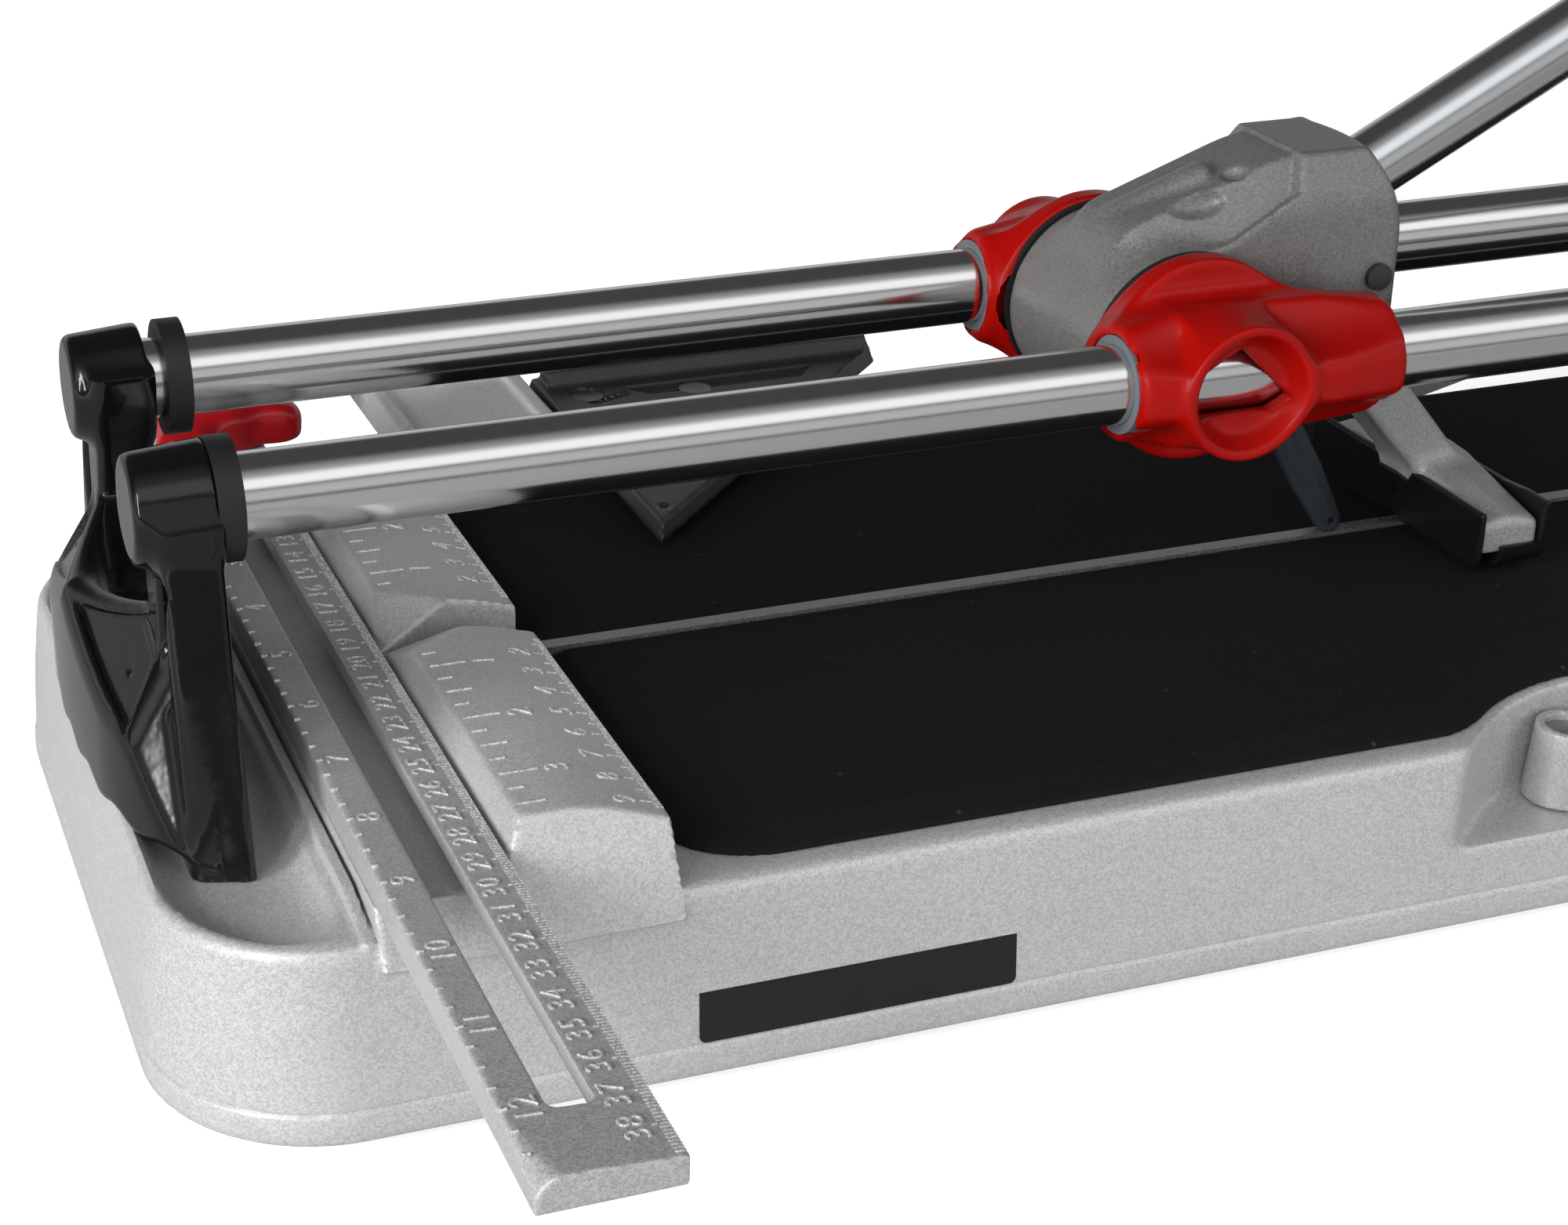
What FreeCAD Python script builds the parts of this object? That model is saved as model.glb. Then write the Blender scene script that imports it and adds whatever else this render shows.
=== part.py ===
import FreeCAD, Part
import Sketcher

import math
import os
import re

# Rail tile cutter. X runs along the rails from the measuring fence to the rear,
# Y = 0 is the cutting line, Z = 0 is the surface that the feet stand on. Millimetres.

SIZES = {
    # base casting
    "base_length": 860, "base_width": 214, "foot_height": 3, "deck_height": 46,
    "base_draft": 4.5, "corner_radius": 38, "wall": 5, "deck_thickness": 5,
    "end_rim_rise": 3.5, "end_block_length": 42, "recess_drop": 4.5, "recess_margin": 5,
    "rib_count": 6, "rib_thickness": 4,
    # measuring fence and the bed that the ruler slides on
    "fence_setback": 69, "fence_width": 34.5, "fence_rise": 16.5, "fence_edge_rise": 12,
    "fence_flat": 19, "fence_end_inset": 13.6, "fence_foot_spread": 8,
    "notch_half_width": 6.8, "bed_rise": 5.6,
    # breaking strip and pads
    "strip_width": 4, "strip_rise": 4.8, "strip_seat": 1.5, "pad_thickness": 4,
    "pad_edge_inset": 9.7, "pad_gap": 0.3, "pad_start_gap": 1, "pad_end_inset": 44,
    "pad_corner": 14, "pad_jog": 12,
    # side arm pockets
    "pocket_depth": 27.5, "pocket_floor": 22.5, "pocket_skin": 4, "pocket_ledge": 6.5,
    "pocket_start_gap": 53, "pocket_end_gap": 13,
    # rails and their supports
    "rail_radius": 9, "rail_offset": 36.3, "rail_clearance": 66.3, "rail_end_inset": 12,
    "boss_wall": 3.7, "boss_end_inset": 9.5, "boss_length": 16.5, "post_setback": 3,
    "post_spread": 28.4, "post_foot_width": 24.7, "post_neck_drop": 18, "web_end_inset": 2,
    "web_drop": 28.3, "web_horn": 18, "web_gap": 1.5, "web_spread": 12,
    "buffer_wall": 4, "buffer_length": 5.4, "buffer_play": 4,
    "support_screw_radius": 3, "support_screw_length": 22, "support_screw_head": 5,
    "support_screw_spread": 15.7,
    # feet and label
    "foot_radius": 10, "foot_end_inset": 32, "foot_side_inset": 27, "foot_stem_radius": 4,
    "foot_stem_length": 7, "label_start": 37, "label_length": 70, "label_bottom": 11.5,
    "label_height": 16, "label_thickness": 0.4, "label_corner": 1.5,
    # carriage
    "carriage_axis": -175.5, "slider_front": 25.5, "slider_rear": 41, "slider_wall": 2.3,
    "cup_radius": 15.7, "cup_reach": 15.7, "cup_dish_radius": 13, "cup_dish_depth": 3,
    "flange_radius": 24, "flange_thickness": 5, "bush_length": 6, "bush_wall": 2.1,
    "axle_radius": 8, "axle_end_gap": 1.3, "gasket_radius": 23.4, "gasket_thickness": 1.5,
    "window_size": 7,
    # tilting head and its handle
    "cheek_room": 6.6, "drum_radius": 23, "head_rise": 45.2, "head_reach": 60,
    "head_crown": 17.5, "head_nose_drop": 23.5, "rivet_reach": 50.3, "rivet_rise": 12.2,
    "rivet_radius": 2.1, "rivet_head_radius": 3.2, "rivet_head_height": 1.4,
    "handle_radius": 8.3, "handle_wall": 1.6, "handle_tilt": 27.6, "handle_start": 71.2,
    "handle_rise": 38.5, "handle_insert": 42, "handle_reach": 283, "grip_radius": 13.5,
    "grip_length": 120, "grip_end_wall": 4,
    # scoring wheel and its holder
    "wheel_radius": 3, "wheel_width": 1.4, "wheel_lift": 0.15, "wheel_pin_radius": 0.75,
    "holder_width": 9, "holder_depth": 4.4, "holder_lean": 30, "holder_seat": 22.002,
    "holder_rise": 4, "holder_tip_radius": 2.6, "holder_screw_radius": 2.5,
    # breaker
    "arm_half_width": 8.5, "arm_hub_wall": 2.1, "foot_reach": 85.8, "foot_width": 16,
    "foot_half_length": 35, "foot_end_height": 8.5, "foot_rise": 5.5, "shoe_lift": 6.5,
    "shoe_floor": 3, "shoe_wall": 1.6, "shoe_height": 14.3, "shoe_lip_height": 5,
    "shoe_arch": 2, "shoe_pin_radius": 1.5,
    # ruler
    "ruler_width": 26.6, "ruler_side_gap": 0.4, "ruler_thickness": 5.8, "ruler_tilt": 1.6,
    "ruler_near": 199.5, "slot_inset": 14.1, "slot_width": 8.4, "slot_end": 18.5,
    "slot_end_far": 12, "slot_recess": 2.5, "key_inset": 1.5, "key_width": 4.5, "key_depth": 4,
    "key_near": 70, "key_far": 150,
    # lateral stop, its lock and the set square
    "stud_outset": 8, "stud_radius": 3, "stud_length": 17.6, "stud_head_radius": 5,
    "stud_head_height": 2,
    "knob_radius": 25, "knob_height": 12, "knob_core_radius": 13, "knob_lobe_radius": 7,
    "knob_lobes": 3, "carrier_plate": 4, "carrier_setback": 18, "carrier_length": 93,
    "cross_arm_width": 32, "carrier_arm_thickness": 24, "carrier_foot_gap": 3.8,
    "tongue_length": 74, "tongue_thickness": 6, "square_setback": 43.7, "square_outset": 35,
    "square_lift": 6.5, "square_leg": 110, "square_thickness": 5, "square_screw_radius": 2.5,
    "square_screw_head": 4.5,
    # side arms
    "pivot_along": -112, "pivot_inset": 15, "hub_radius": 8.3, "hub_top_radius": 7,
    "hub_rise": 18.5, "arm_length": 280, "arm_bar_width": 11, "arm_bar_lift": 2,
    "arm_bar_height": 13.5, "arm_tip_radius": 9, "arm_pad_thickness": 2,
    "arm_swing": 20.5966, "pivot_screw_radius": 3, "pivot_screw_head": 5,
    "pivot_screw_depth": 12, "pivot_screw_seat": 13.5,
    # fits
    "running_gap": 0.05, "seat_gap": 0.1, "floor_gap": 0.1, "free_gap": 0.3,
}

# Places and sizes that follow from the ones above.
DERIVED = {
    "end_rim_height": "deck_height + end_rim_rise",
    "recess_floor": "deck_height - recess_drop",
    "fence_left": "fence_setback - base_length/2",
    "fence_right": "fence_left + fence_width",
    "fence_top": "deck_height + fence_rise",
    "fence_edge_height": "deck_height + fence_edge_rise",
    "fence_half_length": "base_width/2 - fence_end_inset",
    "bed_height": "deck_height + bed_rise",
    "pad_edge": "base_width/2 - pad_edge_inset",
    "pad_start": "fence_right + pad_start_gap",
    "pad_end": "base_length/2 - pad_end_inset",
    "pocket_left": "pivot_along - pocket_start_gap",
    "pocket_right": "pivot_along + arm_length + arm_tip_radius + pocket_end_gap",
    "pocket_wall": "base_width/2 - pocket_depth",
    "rail_height": "deck_height + rail_clearance",
    "rail_length": "base_length - 2*rail_end_inset",
    "boss_radius": "rail_radius + boss_wall",
    "boss_outer": "base_length/2 - boss_end_inset",
    "boss_inner": "boss_outer - boss_length",
    "post_outer": "boss_outer - post_setback",
    "post_foot_edge": "rail_offset + post_spread",
    "post_foot_inner": "post_foot_edge - post_foot_width",
    "web_outer": "base_length/2 - web_end_inset",
    "web_top": "rail_height - web_drop",
    "web_bottom": "end_rim_height + web_gap",
    "buffer_radius": "rail_radius + buffer_wall",
    "support_screw_spacing": "rail_offset + support_screw_spread",
    "label_left": "fence_left + label_start",
    "slider_left": "carriage_axis - slider_front",
    "slider_right": "carriage_axis + slider_rear",
    "bush_radius": "rail_radius + bush_wall",
    "slider_radius": "bush_radius + slider_wall",
    "cup_face": "rail_offset + cup_reach",
    "head_half_width": "rail_offset - rail_radius - cheek_room",
    "flange_face": "head_half_width + 2*seat_gap + gasket_thickness",
    "axle_end": "rail_offset - rail_radius - axle_end_gap",
    "head_top": "rail_height + head_rise",
    "head_right": "carriage_axis + head_reach",
    "rivet_along": "carriage_axis + rivet_reach",
    "rivet_height": "rail_height + rivet_rise",
    "handle_along": "carriage_axis + handle_start",
    "handle_height": "rail_height + handle_rise",
    "strip_top": "deck_height + strip_rise",
    "wheel_height": "strip_top + wheel_lift + wheel_radius",
    "holder_drop": "rail_height - wheel_height + holder_rise",
    "holder_length": "holder_drop/cos(holder_lean)",
    "wheel_along": "carriage_axis + holder_seat + holder_drop*tan(holder_lean)",
    "arm_hub_radius": "rivet_radius + arm_hub_wall",
    "foot_left": "carriage_axis + foot_reach - foot_width/2",
    "foot_right": "foot_left + foot_width",
    "shoe_left": "foot_left - seat_gap - shoe_wall",
    "shoe_right": "foot_right + seat_gap + shoe_wall",
    "shoe_bottom": "deck_height + shoe_lift",
    "foot_floor": "shoe_bottom + shoe_floor + seat_gap",
    "foot_end_top": "foot_floor + foot_end_height",
    "foot_top": "foot_end_top + foot_rise",
    "shoe_end": "foot_half_length + seat_gap + shoe_wall",
    "ruler_right": "fence_left - ruler_side_gap",
    "ruler_left": "ruler_right - ruler_width",
    "ruler_floor": "bed_height + floor_gap",
    "slot_centre": "ruler_right - slot_inset",
    "key_left": "ruler_left + key_inset",
    "stud_across": "base_width/2 + stud_outset",
    "carrier_near": "stud_across - carrier_setback",
    "ruler_far": "carrier_near + carrier_length",
    "cross_arm_near": "ruler_far - cross_arm_width",
    "carrier_foot_left": "fence_right + carrier_foot_gap",
    "carrier_foot_near": "stud_across + 1",
    "plate_floor": "ruler_floor + ruler_thickness + ruler_tilt + floor_gap",
    "plate_top": "plate_floor + carrier_plate",
    "knob_floor": "plate_top + floor_gap",
    "stud_floor": "ruler_floor + floor_gap",
    "square_bottom": "deck_height + square_lift",
    "square_top": "square_bottom + square_thickness",
    "square_left": "carrier_foot_left + square_setback",
    "square_far": "stud_across + square_outset",
    "tongue_floor": "square_bottom - seat_gap - tongue_thickness",
    "pivot_across": "base_width/2 - pivot_inset",
    "hub_top": "pocket_floor + hub_rise",
    "arm_bar_bottom": "pocket_floor + arm_bar_lift",
    "arm_bar_top": "arm_bar_bottom + arm_bar_height",
    "arm_tip_top": "deck_height + pad_thickness - arm_pad_thickness",
    "pivot_screw_floor": "pocket_floor + pivot_screw_seat",
}

doc = FreeCAD.newDocument("tile_cutter")
sheet = doc.addObject("Spreadsheet::Sheet", "sizes")
for row, (name, number) in enumerate(SIZES.items(), start=1):
    sheet.set("A%d" % row, name)
    sheet.set("B%d" % row, str(number))
    sheet.setAlias("B%d" % row, name)
doc.recompute()

PLANES = {"XY": "XY_Plane", "XZ": "XZ_Plane", "YZ": "YZ_Plane"}
parts = []


def bound(text):
    """Turn the names in an expression into links to the sheet, through DERIVED."""
    def link(word):
        name = word.group()
        if name in DERIVED:
            return "(%s)" % bound(DERIVED[name])
        return "sizes." + name if name in SIZES else name
    return re.sub(r"[a-z_]+", link, str(text))


def minus(text):
    return "-(%s)" % text


def span(side, low, high):
    """The two ends of a stretch, mirrored through the origin when side is -1."""
    return (low, high) if side > 0 else (minus(high), minus(low))


def new_part(name):
    body = doc.addObject("PartDesign::Body", name)
    body.Label = name
    parts.append(body)
    return body


def circle(across, up, radius):
    return {"centre": (across, up), "radius": radius}


def rectangle(left, right, low, high):
    return [(left, low), (right, low), (right, high), (left, high)]


def draw(body, plane, loops, height, origin=("0", "0"), tilt="0"):
    """A sketch of closed loops on one of the body's planes, lifted by height along its normal.
    Its own axes start at origin and are turned by tilt degrees in the plane."""
    sketch = body.newObject("Sketcher::SketchObject", body.Name + "_outline")
    base = next(item for item in body.Origin.OriginFeatures if item.Role == PLANES[plane])
    sketch.AttachmentSupport = [(base, "")]
    sketch.MapMode = "FlatFace"
    sketch.setExpression("AttachmentOffset.Base.x", bound(origin[0]))
    sketch.setExpression("AttachmentOffset.Base.y", bound(origin[1]))
    sketch.setExpression("AttachmentOffset.Base.z", bound(height))
    sketch.setExpression("AttachmentOffset.Rotation.Angle", bound(tilt))

    def pin(kind, item, point, value):
        index = sketch.addConstraint(Sketcher.Constraint(kind, -1, 1, item, point, 1.0))
        sketch.setExpression("Constraints[%d]" % index, bound(value))

    for loop in loops:
        first = sketch.GeometryCount
        if isinstance(loop, dict):
            sketch.addGeometry(Part.Circle(FreeCAD.Vector(1, 1, 0), FreeCAD.Vector(0, 0, 1), 1))
            pin("DistanceX", first, 3, loop["centre"][0])
            pin("DistanceY", first, 3, loop["centre"][1])
            index = sketch.addConstraint(Sketcher.Constraint("Radius", first, 1.0))
            sketch.setExpression("Constraints[%d]" % index, bound(loop["radius"]))
            continue
        count = len(loop)
        ring = [FreeCAD.Vector(math.cos(2 * math.pi * i / count),
                               math.sin(2 * math.pi * i / count), 0) for i in range(count)]
        for i in range(count):
            sketch.addGeometry(Part.LineSegment(ring[i], ring[(i + 1) % count]))
        for i in range(count):
            sketch.addConstraint(Sketcher.Constraint(
                "Coincident", first + i, 2, first + (i + 1) % count, 1))
        for i, (across, up) in enumerate(loop):
            pin("DistanceX", first + i, 1, across)
            pin("DistanceY", first + i, 1, up)
    return sketch


def add(body, plane, loops, low, high, draft=None, **place):
    """Pad loops from low to high along the axis across the plane."""
    start = minus(high) if plane == "XZ" else low
    pad = body.newObject("PartDesign::Pad", body.Name + "_pad")
    pad.Profile = draw(body, plane, loops, start, **place)
    pad.setExpression("Length", bound("(%s) - (%s)" % (high, low)))
    if draft:
        pad.setExpression("TaperAngle", bound(minus(draft)))
    doc.recompute()
    return pad


def cut(body, plane, loops, low, high, draft=None, **place):
    """Pocket loops from high to low along the axis across the plane, and check that it cut."""
    before = body.Shape.Volume
    start = minus(low) if plane == "XZ" else high
    pocket = body.newObject("PartDesign::Pocket", body.Name + "_pocket")
    pocket.Profile = draw(body, plane, loops, start, **place)
    pocket.setExpression("Length", bound("(%s) - (%s)" % (high, low)))
    if draft:
        pocket.setExpression("TaperAngle", bound(minus(draft)))
    doc.recompute()
    if body.Shape.Volume >= before:
        raise RuntimeError("%s cut nothing" % pocket.Name)
    return pocket


def turn(body, outline, origin, tilt, kind="Revolution"):
    """Turn an outline on the XZ plane about its own first axis, to add or to groove."""
    before = body.Shape.Volume if kind == "Groove" else 0
    feature = body.newObject("PartDesign::" + kind, body.Name + "_turned")
    sketch = draw(body, "XZ", [outline], "0", origin, tilt)
    feature.Profile = sketch
    feature.ReferenceAxis = (sketch, ["H_Axis"])
    feature.Angle = 360
    doc.recompute()
    if kind == "Groove" and body.Shape.Volume >= before:
        raise RuntimeError("%s cut nothing" % feature.Name)
    return feature


def soften(body, radius, chosen, kind="Fillet"):
    """Round or bevel the edges of the body that chosen picks."""
    tip = body.Tip
    edges = ["Edge%d" % (i + 1) for i, edge in enumerate(tip.Shape.Edges) if chosen(edge)]
    feature = body.newObject("PartDesign::" + kind, body.Name + "_edges")
    feature.Base = (tip, edges)
    feature.setExpression("Radius" if kind == "Fillet" else "Size", bound(radius))
    doc.recompute()
    return feature


def upright(edge):
    return abs(edge.tangentAt(edge.FirstParameter).z) > 0.9


# ---- base casting --------------------------------------------------------------------------

end_inner = "base_length/2 - end_block_length"
fence_reach = "(fence_half_length + fence_foot_spread)"

base = new_part("base_casting")
add(base, "XY", [rectangle("-base_length/2", "base_length/2", "-base_width/2", "base_width/2")],
    "foot_height", "end_rim_height", "base_draft")
soften(base, "corner_radius", upright)
cut(base, "XY", [rectangle("fence_left", end_inner, minus("base_width"), "base_width")],
    "deck_height", "end_rim_height + 1")

# open underside, deeper below the deck than below the end recesses
inner = "base_width/2 - wall"
cut(base, "XY", [rectangle("-(%s)" % end_inner, end_inner, minus(inner), inner)],
    "foot_height - 1", "deck_height - deck_thickness", "-base_draft")
for side in (-1, 1):
    low, high = span(side, "base_length/2 - end_block_length - 1", "base_length/2 - wall - 2")
    cut(base, "XY", [rectangle(low, high, "corner_radius - base_width/2",
                               "base_width/2 - corner_radius")],
        "foot_height - 1", "recess_floor - deck_thickness")
    low, high = span(side, "base_length/2 - end_block_length + 4", "base_length/2 - recess_margin")
    cut(base, "XY", [rectangle(low, high, "recess_margin + 3 - base_width/2",
                               "base_width/2 - recess_margin - 3")],
        "recess_floor", "end_rim_height + 1")

# cross ribs and the two tubs that the side arms fold into
rib_pitch = "(base_length - 2*end_block_length)/(rib_count + 1)"
for i in range(1, SIZES["rib_count"] + 1):
    middle = "(%d*%s - base_length/2 + end_block_length)" % (i, rib_pitch)
    add(base, "XY", [rectangle(middle + " - rib_thickness/2", middle + " + rib_thickness/2",
                               minus("base_width/2 - wall - 2"), "base_width/2 - wall - 2")],
        "foot_height + 12", "deck_height - deck_thickness + 1")
for side in (-1, 1):
    low, high = span(side, "pocket_wall - pocket_skin", "base_width/2 - wall")
    add(base, "XY", [rectangle("pocket_left - pocket_skin", "pocket_right + pocket_skin",
                               low, high)],
        "pocket_floor - pocket_skin", "deck_height - 1")
    low, high = span(side, "pocket_wall", "base_width/2 + 1")
    cut(base, "XY", [rectangle("pocket_left", "pocket_right", low, high)],
        "pocket_floor", "deck_height + 1")

# bed under the ruler, measuring fence and its notch on the cutting line
add(base, "XY", [rectangle("ruler_left", "fence_left + 1", minus(fence_reach), fence_reach)],
    "end_rim_height - 2", "bed_height")
fence_profile = [("fence_left", "deck_height - 1"), ("fence_right", "deck_height - 1"),
                 ("fence_right", "fence_edge_height"),
                 ("fence_left + fence_flat", "fence_top"), ("fence_left", "fence_top")]
add(base, "XZ", [fence_profile], minus(fence_reach), fence_reach)
for side in (-1, 1):
    ends = [("%d*(%s)" % (side, across), up) for across, up in
            [("fence_half_length", "fence_top + 1"), (fence_reach + " + 1", "fence_top + 1"),
             (fence_reach + " + 1", "deck_height"), (fence_reach, "deck_height"),
             ("fence_half_length", "fence_top")]]
    cut(base, "YZ", [ends], "fence_left - 1", "fence_right + 1")
cut(base, "XY", [[("fence_left - 0.5", "0"), ("fence_right + 0.5", minus("notch_half_width")),
                  ("fence_right + 0.5", "notch_half_width")]],
    "strip_top", "fence_top + 1")
cut(base, "XY", [rectangle("key_left - running_gap", "key_left + key_width + running_gap",
                           "-base_width", "base_width")],
    "bed_height - key_depth - floor_gap", "bed_height + 1")
cut(base, "XY", [rectangle("fence_right - 1", "pad_end", "-strip_width/2", "strip_width/2")],
    "deck_height - strip_seat", "deck_height + 0.5")

# bosses for the feet, and holes for the feet, the support screws and the arm pivots
feet = [("%d*(base_length/2 - foot_end_inset)" % i, "%d*(base_width/2 - foot_side_inset)" % j)
        for i in (-1, 1) for j in (-1, 1)]
add(base, "XY", [circle(x, y, "foot_radius + 2") for x, y in feet],
    "foot_height", "recess_floor - 1")
cut(base, "XY", [circle(x, y, "foot_stem_radius + running_gap") for x, y in feet],
    "foot_height - 1", "foot_height + foot_stem_length + floor_gap")
post_middle = "(post_outer + boss_inner)/2"
screws = [("%d*%s" % (i, post_middle), "%d*support_screw_spacing" % j)
          for i in (-1, 1) for j in (-1, 1)]
cut(base, "XY", [circle(x, y, "support_screw_radius + running_gap") for x, y in screws],
    "foot_height - 1", "recess_floor + 1")
pivots = [("pivot_along", "%d*pivot_across" % side) for side in (-1, 1)]
add(base, "XY", [circle(x, y, "hub_radius") for x, y in pivots],
    "pocket_floor - pivot_screw_depth - 2", "pocket_floor - 1")
cut(base, "XY", [circle(x, y, "pivot_screw_radius + running_gap") for x, y in pivots],
    "pocket_floor - pivot_screw_depth - floor_gap", "pocket_floor + 1")

# ---- breaking strip, pads, label, feet ------------------------------------------------------

strip = new_part("breaking_strip")
add(strip, "XY", [rectangle("fence_right + floor_gap", "pad_end - floor_gap",
                            "-strip_width/2 + running_gap", "strip_width/2 - running_gap")],
    "deck_height - strip_seat", "strip_top")

for side, name in ((-1, "pad_near"), (1, "pad_far")):
    pad = new_part(name)
    outline = [("pad_start", "strip_width/2 + pad_gap"), ("pad_end", "strip_width/2 + pad_gap"),
               ("pad_end", "pad_edge"), ("pocket_right + pocket_ledge + pad_jog", "pad_edge"),
               ("pocket_right + pocket_ledge", "pocket_wall - pocket_ledge"),
               ("pocket_left - pocket_ledge", "pocket_wall - pocket_ledge"),
               ("pocket_left - pocket_ledge - pad_jog", "pad_edge"), ("pad_start", "pad_edge")]
    add(pad, "XY", [[(x, "%d*(%s)" % (side, y)) for x, y in outline]], "deck_height",
        "deck_height + pad_thickness")
    soften(pad, "pad_corner", lambda edge: upright(edge)
           and edge.CenterOfMass.x < pad.Shape.BoundBox.XMin + 1
           and abs(edge.CenterOfMass.y) > SIZES["base_width"]/4)

label_y = "base_width/2 - (label_bottom - foot_height)*tan(base_draft)"
label = new_part("blank_label")
add(label, "XZ", [rectangle("label_left", "label_left + label_length", "0", "label_height")],
    "0", "label_thickness")
soften(label, "label_corner", lambda edge: abs(edge.tangentAt(edge.FirstParameter).y) > 0.9)
label.setExpression("Placement.Base.y", bound(minus(label_y + " + label_thickness + running_gap")))
label.setExpression("Placement.Base.z", bound("label_bottom"))
label.Placement.Rotation.Axis = FreeCAD.Vector(-1, 0, 0)
label.setExpression("Placement.Rotation.Axis.x", "-1")
label.setExpression("Placement.Rotation.Angle", bound("base_draft"))

foot = new_part("rubber_feet")
add(foot, "XY", [circle(x, y, "foot_radius") for x, y in feet], "0", "foot_height")
add(foot, "XY", [circle(x, y, "foot_stem_radius") for x, y in feet],
    "0", "foot_height + foot_stem_length")

# ---- rails and the two end supports ---------------------------------------------------------

for side, name in ((-1, "rail_near"), (1, "rail_far")):
    rail = new_part(name)
    add(rail, "YZ", [circle("%d*rail_offset" % side, "rail_height", "rail_radius")],
        "-rail_length/2", "rail_length/2")

for end, name in ((-1, "front_support"), (1, "rear_support")):
    support = new_part(name)
    for side in (-1, 1):
        post = [("rail_offset + boss_radius - 0.5", "rail_height"),
                ("post_foot_edge", "recess_floor + 6"), ("post_foot_edge", "recess_floor"),
                ("post_foot_inner", "recess_floor"),
                ("rail_offset - boss_radius + 0.5", "rail_height - post_neck_drop"),
                ("rail_offset - boss_radius + 0.5", "rail_height")]
        add(support, "YZ", [[("%d*(%s)" % (side, y), z) for y, z in post]],
            *span(end, "boss_inner", "post_outer"))
        add(support, "YZ", [circle("%d*rail_offset" % side, "rail_height", "boss_radius")],
            *span(end, "boss_inner", "boss_outer"))
    web = [("post_foot_inner + web_spread", "web_bottom"), ("rail_offset + 4", "web_top + web_horn"),
           ("rail_offset - web_spread", "web_top"), ("web_spread - rail_offset", "web_top"),
           ("-4 - rail_offset", "web_top + web_horn"),
           ("-web_spread - post_foot_inner", "web_bottom")]
    add(support, "YZ", [web], *span(end, "post_outer - 1.5", "web_outer"))
    cut(support, "YZ", [circle("%d*rail_offset" % side, "rail_height", "rail_radius + running_gap")
                        for side in (-1, 1)],
        *span(end, "boss_inner - 1", "rail_length/2 + seat_gap"))
    cut(support, "XY", [circle("%d*%s" % (end, post_middle), "%d*support_screw_spacing" % side,
                               "support_screw_radius + running_gap") for side in (-1, 1)],
        "recess_floor - 1", "recess_floor - deck_thickness + support_screw_length + floor_gap")

screw = new_part("support_screws")
under = "recess_floor - deck_thickness"
add(screw, "XY", [circle(x, y, "support_screw_head") for x, y in screws],
    under + " - support_screw_radius", under)
add(screw, "XY", [circle(x, y, "support_screw_radius") for x, y in screws],
    under + " - support_screw_radius", under + " + support_screw_length")

buffer = new_part("buffer_rings")
for end in (-1, 1):
    for side, play in ((-1, "0"), (1, "buffer_play")):
        ring = [circle("%d*rail_offset" % side, "rail_height", "buffer_radius"),
                circle("%d*rail_offset" % side, "rail_height", "rail_radius + running_gap")]
        inner_face = "boss_inner - buffer_length - " + play
        add(buffer, "YZ", ring, *span(end, inner_face, inner_face + " + buffer_length"))

# ---- carriage: sliders on the rails, their bushes, the axle between them ---------------------

AXIS = ("carriage_axis", "rail_height")

for side, name in ((-1, "slider_near"), (1, "slider_far")):
    slider = new_part(name)
    rail_centre = ("%d*rail_offset" % side, "rail_height")
    add(slider, "YZ", [circle(*rail_centre, "slider_radius")], "slider_left", "slider_right")
    add(slider, "XZ", [circle(*AXIS, "cup_radius")], *span(side, "rail_offset", "cup_face"))
    add(slider, "XZ", [circle(*AXIS, "flange_radius")],
        *span(side, "flange_face", "flange_face + flange_thickness"))
    cut(slider, "YZ", [circle(*rail_centre, "rail_radius + free_gap")],
        "slider_left - 1", "slider_right + 1")
    for low, high in (("slider_left - 1", "slider_left + bush_length"),
                      ("slider_right - bush_length", "slider_right + 1")):
        cut(slider, "YZ", [circle(*rail_centre, "bush_radius + running_gap")],
            low, high)
    cut(slider, "XZ", [circle(*AXIS, "axle_radius + running_gap")],
        *span(side, "flange_face - 1", "axle_end + seat_gap"))
    cut(slider, "XZ", [circle(*AXIS, "cup_dish_radius")],
        *span(side, "cup_face - cup_dish_depth", "cup_face + 1"))
    window = [("carriage_axis - window_size", "rail_height - window_size/2"),
              ("carriage_axis + window_size", "rail_height - window_size/2"),
              ("carriage_axis", "rail_height + window_size")]
    cut(slider, "XZ", [window], *span(side, "rail_offset", "cup_face"))

bush = new_part("slide_bushes")
for side in (-1, 1):
    ring = [circle("%d*rail_offset" % side, "rail_height", "bush_radius"),
            circle("%d*rail_offset" % side, "rail_height", "rail_radius + running_gap")]
    add(bush, "YZ", ring, "slider_left", "slider_left + bush_length")
    add(bush, "YZ", ring, "slider_right - bush_length", "slider_right")

axle = new_part("head_axle")
add(axle, "XZ", [circle(*AXIS, "axle_radius")], minus("axle_end"), "axle_end")

gasket = new_part("gasket_rings")
for side in (-1, 1):
    add(gasket, "XZ", [circle(*AXIS, "gasket_radius"), circle(*AXIS, "axle_radius + free_gap")],
        *span(side, "head_half_width + seat_gap", "head_half_width + seat_gap + gasket_thickness"))

# ---- tilting head with its handle -----------------------------------------------------------

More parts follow.
